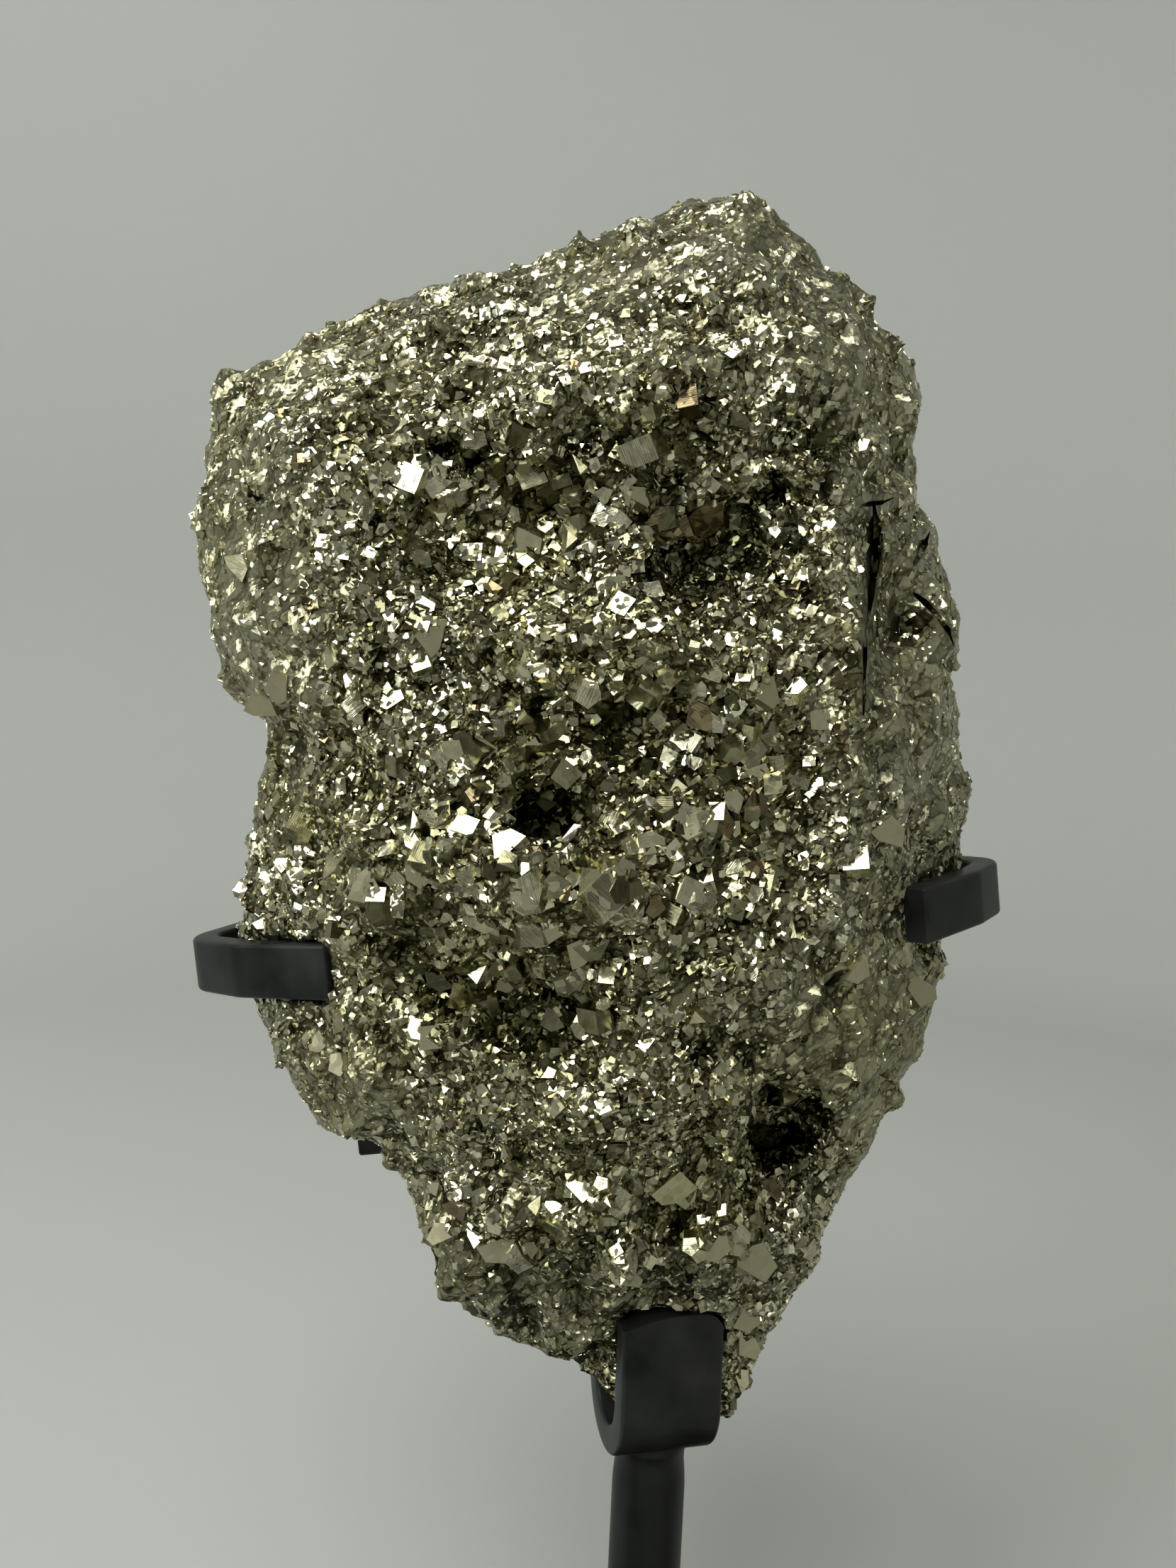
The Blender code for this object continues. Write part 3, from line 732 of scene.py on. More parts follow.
def rock_faces(start, place, size):
    """Broken rock: a lean for each long slanting face, and how near a place is to a crevice."""
    bend = start.noise(place, 1.2 / size, 2.0, "Color").centred().scaled(size)
    slanted = start.node("ShaderNodeMapping", {"vector_type": "TEXTURE"}, {
        "Vector": place.vector("ADD", bend), "Rotation": (0.0, 0.7, 0.0),
        "Scale": (1.0, 1.0, 2.0)})
    edge = start.cells(slanted, size, "DISTANCE_TO_EDGE", "Distance")
    return start.cells(slanted, size).centred().scaled(1.4), (1.0 - edge * 7.0).clamped()


def pyrite_material(name, looks, rock_size=0.0):
    """Pyrite: brass and olive by patch, brown by chance, painted shade, small faces that tilt a
    little.
    """
    painted_shade, roughness, mosaic, tilt, stripes = FINISHES[name]
    material, shader, start = new_shader(name)
    place = start.coordinates("Object")
    tone, calm, shade_share = (start.attribute(kept) for kept in ("tone", "calm", "painted_shade"))
    specks = start.noise(place, 800.0, 3.0)
    film = (start.noise(place, 28.0, 3.0) * 1.6 - 0.6 + tone * 0.5 + specks * 0.3).clamped()
    brown = tone.stepped((0.0, 1.0), (0.045, 0.8), (0.05, 0.0), (1.0, 0.0))
    stained = tone.stepped((0.0, 0.0), (0.66, 0.0), (0.78, 0.75), (1.0, 0.8))
    # Painted shade: the share stored on the skin, and the finish's own share that darkens all the
    # skin between the crystals
    dull = tone.above(DULL_TONE)
    shade_share = shade_share * 0.74 + painted_shade
    lean = start.cells(place, mosaic).centred().scaled(tilt)
    if rock_size:
        face_lean, crevice = rock_faces(start, place, rock_size)
        # Painted shade in the rock's crevices and on the skin among the coarse crystals
        shade_share = shade_share + crevice * 0.5 + start.attribute("grain") * 0.4
        lean = lean.vector("ADD", face_lean)
    colour = start.mixed(tuple(looks.brass), tuple(looks.olive), film)
    for layer, share in ((looks.brown, brown), (looks.gap, stained * (1.0 - calm * 0.85)),
                         (looks.dull, dull), (looks.pale, tone.above(PALE_TONE)),
                         (looks.gap, shade_share.clamped())):
        colour = start.mixed(colour, tuple(layer), share)
    normal = start.node("ShaderNodeNewGeometry", output="Normal")
    normal = normal.vector("ADD", lean).vector("NORMALIZE")
    if stripes:
        lines = start.noise(start.coordinates("UV").vector("MULTIPLY", (1.0, 34.0, 1.0)), 1.0, 2.0)
        normal = start.node("ShaderNodeBump", {}, {
            "Strength": stripes, "Distance": 0.15 * MM, "Height": lines, "Normal": normal})
    rough = roughness + film * 0.12 + dull * (0.15 + specks * 0.2) + calm * 0.12
    shader.inputs["Metallic"].default_value = 1.0
    plug_all(shader, {"Base Color": colour, "Roughness": rough, "Normal": normal})
    return material


def paint_material(name, looks):
    """Satin black paint with orange peel, dust and rubbed rims."""
    material, shader, start = new_shader(name)
    place = start.coordinates("Object")
    cloud, peel, dust = (start.noise(place, scale, detail)
                         for scale, detail in ((90.0, 5.0), (900.0, 2.0), (420.0, 6.0)))
    rubbed = (start.attribute("rim") * (cloud * 2.4 - 0.5)).clamped() * 0.6
    rubbed = (rubbed + (dust * 6.0 - 3.9).clamped() * 0.08).clamped()
    shader.inputs["Specular IOR Level"].default_value = 0.15
    plug_all(shader, {
        "Base Color": start.mixed(tuple(looks.paint), tuple(looks.worn), rubbed),
        "Roughness": cloud * 0.16 + 0.3,
        "Normal": start.node("ShaderNodeBump", {}, {"Strength": 0.25, "Distance": 0.06 * MM,
                                                    "Height": peel + cloud * 0.6})})
    return material


def paper_material(name, looks):
    """Pale matt paper of the floor and backdrop."""
    material, shader, start = new_shader(name)
    cloud = start.noise(start.coordinates("Object"), 2.0, 4.0)
    shade = tuple(channel * 0.95 for channel in looks.paper[:3]) + (1.0,)
    shader.inputs["Roughness"].default_value = 0.9
    plug_all(shader, {"Base Color": start.mixed(tuple(looks.paper), shade, cloud)})
    return material


def new_object(name, mesh, materials=()):
    """An object in the scene at the origin."""
    item = bpy.data.objects.new(name, mesh)
    for material in materials:
        mesh.materials.append(material)
    bpy.context.scene.collection.objects.link(item)
    return item


def evaluated_mesh(item):
    """The mesh that an object shows with its modifiers."""
    depsgraph = bpy.context.evaluated_depsgraph_get()
    return bpy.data.meshes.new_from_object(item.evaluated_get(depsgraph), depsgraph=depsgraph)


def keep_evaluated(item):
    """Replace an object's mesh with what its modifiers make, and remove them."""
    mesh = evaluated_mesh(item)
    item.modifiers.clear()
    item.data = mesh
    return item


def dress(piece, slot, *nodes):
    """Make a piece ride on the body and stand for CAD nodes; its slot is not used."""
    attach(piece, BODY)
    if nodes:
        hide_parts(*nodes)
    return piece


def material_once(name, maker, *settings):
    """A material by name, made the first time it is asked for."""
    return bpy.data.materials.get(name) or maker(name, *settings)


def put_back(shape, mesh):
    """Write a bmesh to a mesh and let the bmesh go."""
    shape.to_mesh(mesh)
    shape.free()
    return mesh


def mesh_from(shape, name):
    """A new mesh from a bmesh."""
    return put_back(shape, bpy.data.meshes.new(name))


def shape_of(mesh):
    """A bmesh of a mesh."""
    shape = bmesh.new()
    shape.from_mesh(mesh)
    return shape


def clean(shape):
    """Merge a bmesh's loose corners and turn its faces outward."""
    bmesh.ops.remove_doubles(shape, verts=shape.verts, dist=WELD_DISTANCE)
    bmesh.ops.recalc_face_normals(shape, faces=shape.faces)


def hull(corners):
    """A bmesh of the smallest closed form round some corners."""
    shape = bmesh.new()
    for corner in corners:
        shape.verts.new(corner)
    bmesh.ops.convex_hull(shape, input=shape.verts)
    bmesh.ops.recalc_face_normals(shape, faces=shape.faces)
    return shape


def flat_curve(name, points, dimensions):
    """A straight-sided curve through flat points in millimetres."""
    curve = bpy.data.curves.new(name, "CURVE")
    curve.dimensions = dimensions
    spline = curve.splines.new("POLY")
    spline.points.add(len(points) - 1)
    for point, place in zip(spline.points, points):
        point.co = (place[0] * MM, place[1] * MM, 0.0, 1.0)
    return curve


def camera_axes():
    """The photograph's right, up and forward directions."""
    forward = Vector((0.0, math.cos(CAMERA_PITCH), -math.sin(CAMERA_PITCH)))
    level = Vector((1.0, 0.0, 0.0))
    upright = level.cross(forward)
    right = level * math.cos(CAMERA_ROLL) + upright * math.sin(CAMERA_ROLL)
    up = upright * math.cos(CAMERA_ROLL) - level * math.sin(CAMERA_ROLL)
    return right, up, forward


def pixel_ray(x, y):
    """The direction in which the photograph's camera sees a pixel."""
    right, up, forward = camera_axes()
    across = (x - PHOTO_SIZE[0] / 2) / FOCAL_PIXELS
    down = (y - PHOTO_SIZE[1] / 2) / FOCAL_PIXELS
    return (forward + right * across - up * down).normalized()


def pixel_of(place):
    """The photograph's pixel at which a place is seen."""
    right, up, forward = camera_axes()
    offset = place - CAMERA_PLACE
    depth = offset.dot(forward)
    x = PHOTO_SIZE[0] / 2 + FOCAL_PIXELS * offset.dot(right) / depth
    y = PHOTO_SIZE[1] / 2 - FOCAL_PIXELS * offset.dot(up) / depth
    return x, y


def mesh_tree(mesh):
    """A search tree over a mesh's faces."""
    places = [vertex.co for vertex in mesh.vertices]
    return BVHTree.FromPolygons(places, [face.vertices for face in mesh.polygons])


def merged_copy(node):
    """A copy of a CAD node's mesh with its loose corners merged."""
    shape = shape_of(frame["nodes"][node].data)
    bmesh.ops.remove_doubles(shape, verts=shape.verts, dist=MERGE_DISTANCE)
    return mesh_from(shape, node + "_merged")


def bar_trees():
    """Search trees over the straps that touch the stone."""
    return [mesh_tree(frame["nodes"][name].data) for name in
            ("hook", "spine", "claw_bar", "lower_bar")]


def distance_to(trees, place, reach):
    """How far a place is from the nearest of some surfaces, up to a reach."""
    nearest = reach
    for tree in trees:
        found = tree.find_nearest(place, reach)
        if found[0] is not None:
            nearest = min(nearest, found[3])
    return nearest


def bell(x, y, middle_x, middle_y, half_width, half_height):
    """A smooth hump of height one about a middle."""
    across = (x - middle_x) / half_width
    along = (y - middle_y) / half_height
    return math.exp(-(across ** 2 + along ** 2))


def share_of(value):
    """A value held between nought and one."""
    return min(1.0, max(0.0, value))


def zone_sum(x, y, zones):
    """What some zones give together at a pixel."""
    return sum(bell(x, y, *zone[:4]) * zone[4] for zone in zones.values())


def coarse_share(place):
    """How coarse the crystals are at a place of the skin, from nought to one."""
    if place.y > FRONT_DEPTH:
        return max(0.0, noise.noise(place / GRAIN_PATCH) * 1.6)
    speckle = noise.noise(place / GRAIN_SPECKLE) * 0.45
    return share_of(zone_sum(*pixel_of(place), COARSE_ZONES) + speckle - 0.1)


def zone_share(place, zones, most):
    """How much a place of the front has of what some zones give, up to a most."""
    if place.y > FRONT_DEPTH:
        return 0.0
    return min(most, zone_sum(*wandering_pixel(place), zones))


def calm_share(place, normal):
    """How small and flat the crystals are at a place: in the calm zones and round the rim."""
    facing = abs(normal.dot((CAMERA_PLACE - place).normalized()))
    rim = max(0.0, 1.0 - facing / RIM_FACING)
    if place.y > FRONT_DEPTH:
        return max(rim, BACK_CALM)
    return max(rim, zone_share(place, CALM_ZONES, 1.0))


def cleft_distance(place):
    """How far a place of the front is from the nearest cleft or crease, in metres."""
    if place.y > FRONT_DEPTH:
        return 1.0
    x, y = pixel_of(place)
    nearest = min(distance_to_line(x, y, [station[:2] for station in line])
                  for _, line in CLEFTS.values())
    return nearest * (place - CAMERA_PLACE).length / FOCAL_PIXELS


def cleft_blade(tree, depth, line):
    """A tapering blade along a cleft's line, from before the skin to the cleft's floor."""
    right, up = camera_axes()[:2]
    shape = bmesh.new()
    rings = []
    for index, (x, y, half_width) in enumerate(line):
        before, after = line[max(index - 1, 0)], line[min(index + 1, len(line) - 1)]
        across = (right * (after[1] - before[1]) + up * (after[0] - before[0])).normalized()
        ray = pixel_ray(x, y)
        place = tree.ray_cast(CAMERA_PLACE, ray)[0]
        outer, inner = place - ray * CLEFT_FRONT, place + ray * depth * MM
        wide, narrow = (across * half_width * flare * MM for flare in CLEFT_FLARE)
        corners = (outer - wide, outer + wide, inner + narrow, inner - narrow)
        rings.append([shape.verts.new(corner) for corner in corners])
    for upper, lower in zip(rings, rings[1:]):
        for side in range(4):
            following = (side + 1) % 4
            shape.faces.new((upper[side], upper[following], lower[following], lower[side]))
    shape.faces.new(rings[0])
    shape.faces.new(rings[-1])
    bmesh.ops.triangulate(shape, faces=shape.faces)
    bmesh.ops.recalc_face_normals(shape, faces=shape.faces)
    return mesh_from(shape, "cleft_blade")


def cavity_depths(mesh):
    """How far each corner of a mesh lies below its smoothed surface, in metres."""
    ghost = new_object("smoothed_skin", mesh.copy())
    smooth = ghost.modifiers.new("Smoothed", "SMOOTH")
    smooth.factor = 0.8
    smooth.iterations = 30
    soft = evaluated_mesh(ghost)
    bpy.data.objects.remove(ghost, do_unlink=True)
    depths = [(after.co - before.co).dot(before.normal)
              for before, after in zip(mesh.vertices, soft.vertices)]
    bpy.data.meshes.remove(soft)
    return depths


def distance_to_line(x, y, points):
    """The distance from a point to a line through points, all in pixels."""
    nearest = math.inf
    here = Vector((x, y))
    for start, end in zip(points, points[1:]):
        start, end = Vector(start), Vector(end)
        along = end - start
        share = max(0.0, min(1.0, (here - start).dot(along) / along.length_squared))
        nearest = min(nearest, (here - start - along * share).length)
    return nearest


def wandering_pixel(place):
    """The photograph's pixel of a place, pushed about a little so that no zone is round."""
    x, y = pixel_of(place)
    push = noise.noise_vector(place / WANDER_SIZE) * WANDER_PIXELS
    return x + push.x, y + push.z


def skin_depth(place, normal):
    """How far the pits press a place of the front inwards, in metres."""
    if normal.y > SIDE_FACING:
        return 0.0
    return zone_share(place, PITS, math.inf) * MM


def rim_push(place):
    """How far a place of the skin is pushed to meet the photograph's outline, in metres."""
    x, y = pixel_of(place)
    right, up = camera_axes()[:2]
    push = Vector((0.0, 0.0, 0.0))
    for *zone, across, upwards in RIM_PUSHES.values():
        push += (right * across + up * upwards) * bell(x, y, *zone)
    return push * MM


def relief(place, looks):
    """The height of the skin's small knobs and lumps at a place."""
    small = looks.knob_spacing * SMALL_KNOB
    knobs, grains, lumps = (KNOB_LEVEL - noise.voronoi(place / spacing)[0][0]
                            for spacing in (looks.knob_spacing, small, LUMP_SPACING))
    height = knobs * looks.knob_height + grains * looks.knob_height * SMALL_KNOB_HEIGHT
    return height + lumps * LUMP_HEIGHT * zone_share(place, LUMP_ZONES, 1.0)


def store_values(mesh, name, values):
    """Keep one number for each corner point of a mesh."""
    attribute = mesh.attributes.new(name, "FLOAT", "POINT")
    attribute.data.foreach_set("value", values)


def new_tree(name, sizes):
    """A geometry tree with named inputs, and a wire from its geometry input."""
    tree = bpy.data.node_groups.new(name, "GeometryNodeTree")
    tree.interface.new_socket("Geometry", in_out="INPUT", socket_type="NodeSocketGeometry")
    for size, kind in sizes.items():
        tree.interface.new_socket(size, in_out="INPUT", socket_type="NodeSocket" + kind)
    tree.interface.new_socket("Geometry", in_out="OUTPUT", socket_type="NodeSocketGeometry")
    start = Wire(tree)
    return tree, start.node("NodeGroupInput", output="Geometry")


def finish_tree(geometry, material):
    """End a tree with real geometry and its material."""
    solid = geometry.node("GeometryNodeRealizeInstances", {}, {"Geometry": geometry})
    painted = solid.node("GeometryNodeSetMaterial", {}, {"Geometry": solid,
                                                        "Material": material})
    painted.node("NodeGroupOutput", {}, {"Geometry": painted}, None)


def run_tree(host, tree, values):
    """Run a tree on an object with named input values, and give the plain mesh."""
    growth = host.modifiers.new(tree.name, "NODES")
    growth.node_group = tree
    for socket in tree.interface.items_tree:
        if socket.in_out == "INPUT" and socket.name in values:
            growth[socket.identifier] = values[socket.name]
    mesh = evaluated_mesh(host)
    host.modifiers.remove(growth)
    return mesh


def named(start, name):
    """A number kept on the points."""
    return start.node("GeometryNodeInputNamedAttribute", {"data_type": "FLOAT"}, {"Name": name},
                      "Attribute")


def chance(start, low, high, seed, kind="FLOAT"):
    """A random number, or a random vector, for each point."""
    return start.node("FunctionNodeRandomValue", {"data_type": kind},
                      {"Min": low, "Max": high, "Seed": seed}, "Value")


def switched(start, chosen, no, yes):
    """One of two turns, as a wire chooses."""
    return start.node("GeometryNodeSwitch", {"input_type": "ROTATION"},
                      {"Switch": chosen, "False": no, "True": yes})


def crystal_turn(points, given, calm, turn_spread):
    """How the crystals are turned: along the skin, in clusters, or to shine at the viewer."""
    seed = given("Seed")
    position = points.node("GeometryNodeInputPosition")
    cell = points.cells(position.scaled(given("Cluster").maths("POWER", -1.0)), 1.0)
    free = chance(points, (-turn_spread,) * 3, (turn_spread,) * 3, seed + 2, "FLOAT_VECTOR")
    tilt = given("Tilt") * (1.0 - calm * CALM_TILT)
    lowest, highest = (
        points.node("ShaderNodeCombineXYZ", {}, {"X": tilt * side, "Y": tilt * side, "Z": spin})
        for side, spin in ((-1.0, 0.0), (1.0, FULL_TURN)))
    leaning = chance(points, lowest, highest, seed + 8, "FLOAT_VECTOR")
    along_skin = points.node("FunctionNodeRotateRotation", {"rotation_space": "LOCAL"}, {
        "Rotation": points.other("Rotation"), "Rotate By": leaning})
    loose_share = given("Loose share") * (1.0 - calm * CALM_LOOSE)
    is_loose = chance(points, 0.0, 1.0, seed + 9).below(loose_share)
    turn = switched(points, is_loose, along_skin, cell.scaled(FULL_TURN).vector("ADD", free))
    spin = chance(points, (-GLINT_LEAN, -GLINT_LEAN, 0.0), (GLINT_LEAN, GLINT_LEAN, FULL_TURN),
                  seed + 10, "FLOAT_VECTOR")
    shining = points.node("FunctionNodeAlignRotationToVector", {"axis": "Z"}, {
        "Rotation": spin,
        "Vector": position.towards(CAMERA_PLACE).vector("ADD", position.towards(KEY_PLACE))})
    shines = chance(points, 0.0, 1.0, seed + 11).below(named(points, "glint") * given("Shining"))
    return switched(points, shines, turn, shining)


def crystal_tree(name, shapes, material, turn_spread):
    """A tree that grows crystals of some shapes on a skin."""
    tree, skin = new_tree(name, dict.fromkeys(CRYSTAL_INPUTS, "Float") | {"Seed": "Int"})
    given = skin.other
    seed = given("Seed")
    points = skin.node("GeometryNodeDistributePointsOnFaces", {"distribute_method": "POISSON"},
                       {"Mesh": skin, "Distance Min": given("Spacing"),
                        "Density Max": CRYSTAL_DENSITY, "Seed": seed}, "Points")
    calm, room = named(points, "calm"), named(points, "room")
    grain = named(points, "grain") + chance(points, -GRAIN_SPREAD, GRAIN_SPREAD, seed + 7)
    kept = grain.above(given("Grain from")) * room.above(LEAST_ROOM)
    position = points.node("GeometryNodeInputPosition")
    depth = points.node("ShaderNodeSeparateXYZ", {}, {"Vector": position}, "Y")
    for measure, way in ((depth, "Depth"), (depth.other("Z"), "Height")):
        kept = kept * measure.above(given(way + " from")) * measure.below(given(way + " to"))
    sparse = (calm * given("Thinning")).maths("MAXIMUM", grain.clamped() * given("Parting"))
    kept = kept * chance(points, 0.0, 1.0, seed + 12).above(sparse)
    culled = points.node("GeometryNodeDeleteGeometry", {"domain": "POINT"},
                         {"Geometry": points, "Selection": kept.below(0.5)})
    luck = chance(points, 0.0, 1.0, seed + 1)
    size = luck * luck * (given("Largest") - given("Smallest")) + given("Smallest")
    size = (size * (1.0 - calm * given("Calming"))).maths("MINIMUM", room * ROOM_FOR_SIZE)
    sunk = given("Sunk") + calm * CALM_SUNK
    placed = culled.node("GeometryNodeSetPosition", {}, {
        "Geometry": culled, "Offset": points.other("Normal").scaled(size * sunk * -1.0)})
    stretch = chance(points, THINNEST, WIDEST, seed + 3, "FLOAT_VECTOR")
    forms = points.node("GeometryNodeCollectionInfo", {}, {
        "Collection": shapes, "Separate Children": True, "Reset Children": True})
    crystals = placed.node("GeometryNodeInstanceOnPoints", {}, {
        "Points": placed, "Instance": forms, "Pick Instance": True,
        "Instance Index": chance(points, 0, len(shapes.objects) - 1, seed + 4, "INT"),
        "Rotation": crystal_turn(points, given, calm, turn_spread),
        "Scale": stretch.scaled(size)})
    toned = crystals.node("GeometryNodeStoreNamedAttribute",
                          {"data_type": "FLOAT", "domain": "INSTANCE"},
                          {"Geometry": crystals, "Name": "tone",
                           "Value": chance(points, 0.0, PALE_TONE, seed + 5)})
    finish_tree(toned, material)
    return tree


def face_sheet(shape):
    """Lay each face of a bmesh on the UV sheet at its own size, for its growth lines."""
    layer = shape.loops.layers.uv.new("UVMap")
    for face in shape.faces:
        side = max(face.edges, key=lambda edge: edge.calc_length())
        along = (side.verts[1].co - side.verts[0].co).normalized()
        across = face.normal.cross(along)
        for loop in face.loops:
            offset = loop.vert.co - face.verts[0].co
            loop[layer].uv = (offset.dot(along), offset.dot(across))


def cube_shape(cuts=0, depth=0.0):
    """A unit cube with some of its corners cut off."""
    shape = bmesh.new()
    bmesh.ops.create_cube(shape, size=1.0)
    for signs in list(product((-1, 1), repeat=3))[:cuts]:
        normal = Vector(signs).normalized()
        cut_shape(shape, Vector(signs) * 0.5 - normal * depth, normal)
    return shape


def cut_shape(shape, place, normal):
    """Cut a closed bmesh off at a plane and close it again."""
    everything = shape.verts[:] + shape.edges[:] + shape.faces[:]
    bmesh.ops.bisect_plane(shape, geom=everything, plane_co=place, plane_no=normal,
                           clear_outer=True)
    open_edges = [edge for edge in shape.edges if edge.is_boundary]
    bmesh.ops.holes_fill(shape, edges=open_edges)
    bmesh.ops.recalc_face_normals(shape, faces=shape.faces)


def pyritohedron_shape():
    """A unit crystal with twelve five-sided faces."""
    shape = bmesh.new()
    bmesh.ops.create_cube(shape, size=2.0)
    for axis, first, second in product(range(3), (-1, 1), (-1, 1)):
        normal = Vector((0.0, 0.0, 0.0))
        normal[axis] = 2.0 * first
        normal[(axis + 1) % 3] = second
        normal.normalize()
        cut_shape(shape, normal * 0.5, normal)
    return shape


def shard_shape(seed):
    """A unit lump with a few uneven flat faces."""
    luck = random.Random(seed)
    corners = []
    for _ in range(SHARD_CORNERS):
        direction = Vector([luck.gauss(0.0, 1.0) for _ in range(3)]).normalized()
        corners.append(direction * luck.uniform(0.5, 0.62))
    return hull(corners)


def plate_shape(seed):
    """A unit crystal with an uneven flat top that widens downwards."""
    luck = random.Random(seed)
    corners = []
    for corner in range(PLATE_CORNERS):
        angle = FULL_TURN * (corner + luck.uniform(-0.3, 0.3)) / PLATE_CORNERS
        reach = luck.uniform(0.34, 0.55)
        for radius, height in ((reach, 0.4), (reach * 1.25, -0.5)):
            corners.append((radius * math.cos(angle), radius * math.sin(angle), height))
    return hull(corners)


SHAPES = {
    "cube": cube_shape,
    "cut_cube": lambda: cube_shape(2, 0.22),
    "pyritohedron": pyritohedron_shape,
    "shard": lambda: shard_shape(1),
    "second_shard": lambda: shard_shape(4),
    "plate": lambda: plate_shape(2),
    "second_plate": lambda: plate_shape(5),
}


def shape_mesh(kind):
    """One of the crystal shapes as a mesh, with its faces on the UV sheet."""
    shape = SHAPES[kind]()
    face_sheet(shape)
    return mesh_from(shape, kind)


def shape_collection(name, kinds):
    """A collection of crystal shapes for a tree to pick from."""
    collection = bpy.data.collections.new(name)
    bpy.context.scene.collection.children.link(collection)
    for kind in kinds:
        collection.objects.link(bpy.data.objects.new(name + "_" + kind, shape_mesh(kind)))
    return collection


def drop_collection(collection):
    """Remove a collection and the shapes in it."""
    for item in list(collection.objects):
        bpy.data.objects.remove(item, do_unlink=True)
    bpy.data.collections.remove(collection)


def blunt(mesh, spots):
    """Smooth a mesh's points at some spots of the photograph."""
    shape = shape_of(mesh)
    near = [vertex for vertex in shape.verts
            if any(bell(*pixel_of(vertex.co), *spot) > BLUNT_FROM for spot in spots)]
    for _ in range(BLUNT_TURNS):
        bmesh.ops.smooth_vert(shape, verts=near, factor=0.5, use_axis_x=True, use_axis_y=True,
                              use_axis_z=True)
    put_back(shape, mesh)


class PYRITE_OT_skin(bpy.types.Operator):
    """Make the stone's knobbly skin from its solid"""

    bl_idname = "pyrite.skin"
    bl_label = "Stone skin"

    def execute(self, context):
        looks = context.scene.stone_looks
        noise.seed_set(looks.seed)
        skin = new_object("stone_skin", merged_copy("pyrite"))
        remesh = skin.modifiers.new("Even skin", "REMESH")
        remesh.mode = "VOXEL"
        remesh.voxel_size = looks.skin_step
        for factor in WEAR:
            wear = skin.modifiers.new("Worn crystals", "SMOOTH")
            wear.factor = factor
            wear.iterations = WEAR_STEPS
        keep_evaluated(skin)
        tree = mesh_tree(skin.data)
        for depth, line in CLEFTS.values():
            skin.data = combined(skin.data, cleft_blade(tree, depth, line), "DIFFERENCE")
        blunt(skin.data, BLUNT_SPOTS.values())
        self.shape(skin.data, looks)
        skin.data.materials.append(
            material_once("pyrite_skin", pyrite_material, looks, looks.rock_size))
        dress(skin, STONE_SLOT, "pyrite")
        return {"FINISHED"}

    def shape(self, mesh, looks):
        """Raise the knobs, press in the pits and store what the crystals need to know."""
        trees = bar_trees()
        rooms, calms, moved = [], [], []
        for vertex in mesh.vertices:
            place, normal = vertex.co.copy(), vertex.normal.copy()
            room = distance_to(trees, place, ROOM_REACH)
            off_cleft = cleft_distance(place) - CLEFT_BARE
            free = share_of((room - ROOM_LEAST) / ROOM_EDGE) * share_of(off_cleft / CLEFT_EDGE)
            height = (relief(place, looks) - skin_depth(place, normal) - SKIN_INSET) * free
            moved.append(place + normal * height + rim_push(place) * free)
            bare = zone_share(place, BARE_ZONES, 1.0) > BARE_FROM
            rooms.append(0.0 if bare else min(room, off_cleft + CLEFT_ROOM))
            calms.append(calm_share(place, normal))
        for vertex, place in zip(mesh.vertices, moved):
            vertex.co = place
        mesh.update()
        # Painted shade: darker in the skin's cavities and in the painted shade zones, less where
        # the crystals are calm
        painted_shade = [min(1.0, max(0.0, cavity / CAVITY_DEPTH) * CAVITY_PAINTED_SHADE
                     + zone_share(place, PAINTED_SHADE_ZONES, MOST_PAINTED_SHADE)) - calm * CALM_PALER
                 for cavity, place, calm in zip(cavity_depths(mesh), moved, calms)]
        kept = {
            "painted_shade": painted_shade,
            "glint": [zone_share(place, GLINT_ZONES, MOST_GLINT) for place in moved],
            "calm": calms,
            "grain": [coarse_share(place) for place in moved],
            "room": rooms,
            "tone": [0.5 + 0.4 * noise.noise(place / TONE_PATCH) for place in moved],
        }
        for name, values in kept.items():
            store_values(mesh, name, values)


def grow(name, tree, region, growth):
    """Grow the crystals of one region, between two depths and two heights."""
    reach = dict(zip(("Depth from", "Depth to", "Height from", "Height to"), region))
    mesh = run_tree(bpy.data.objects["stone_skin"], tree, growth | reach)
    dress(new_object(name, mesh), STONE_SLOT)


class PYRITE_OT_fine_crystals(bpy.types.Operator):
    """Grow the fine crystals over the whole stone"""

    bl_idname = "pyrite.fine_crystals"
    bl_label = "Fine crystals"

    def execute(self, context):
        looks = context.scene.stone_looks
        shapes = shape_collection("fine_shapes", FINE_SHAPES)
        material = material_once("pyrite_fine", pyrite_material, looks)
        tree = crystal_tree("Fine crystals", shapes, material, FINE_TURN_SPREAD)
        growth = FINE_GROWTH | {
            "Spacing": looks.fine_spacing, "Smallest": looks.fine_size * FINE_SMALLEST,
            "Largest": looks.fine_size, "Cluster": looks.cluster, "Seed": looks.seed}
        low, high = (corner[2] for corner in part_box("pyrite"))
        heights = [low + (high - low) * share for share in FINE_BANDS]
        for number, (bottom, top) in enumerate(zip(heights, heights[1:]), 1):
            grow(f"fine_crystals_front_{number}", tree, (-FAR, FRONT_DEPTH, bottom, top), growth)
        coarser = {name: growth[name] * BACK_COARSER for name in ("Spacing", "Largest")}
        grow("fine_crystals_back", tree, (FRONT_DEPTH, FAR, 0.0, FAR), growth | coarser)
        drop_collection(shapes)
        return {"FINISHED"}


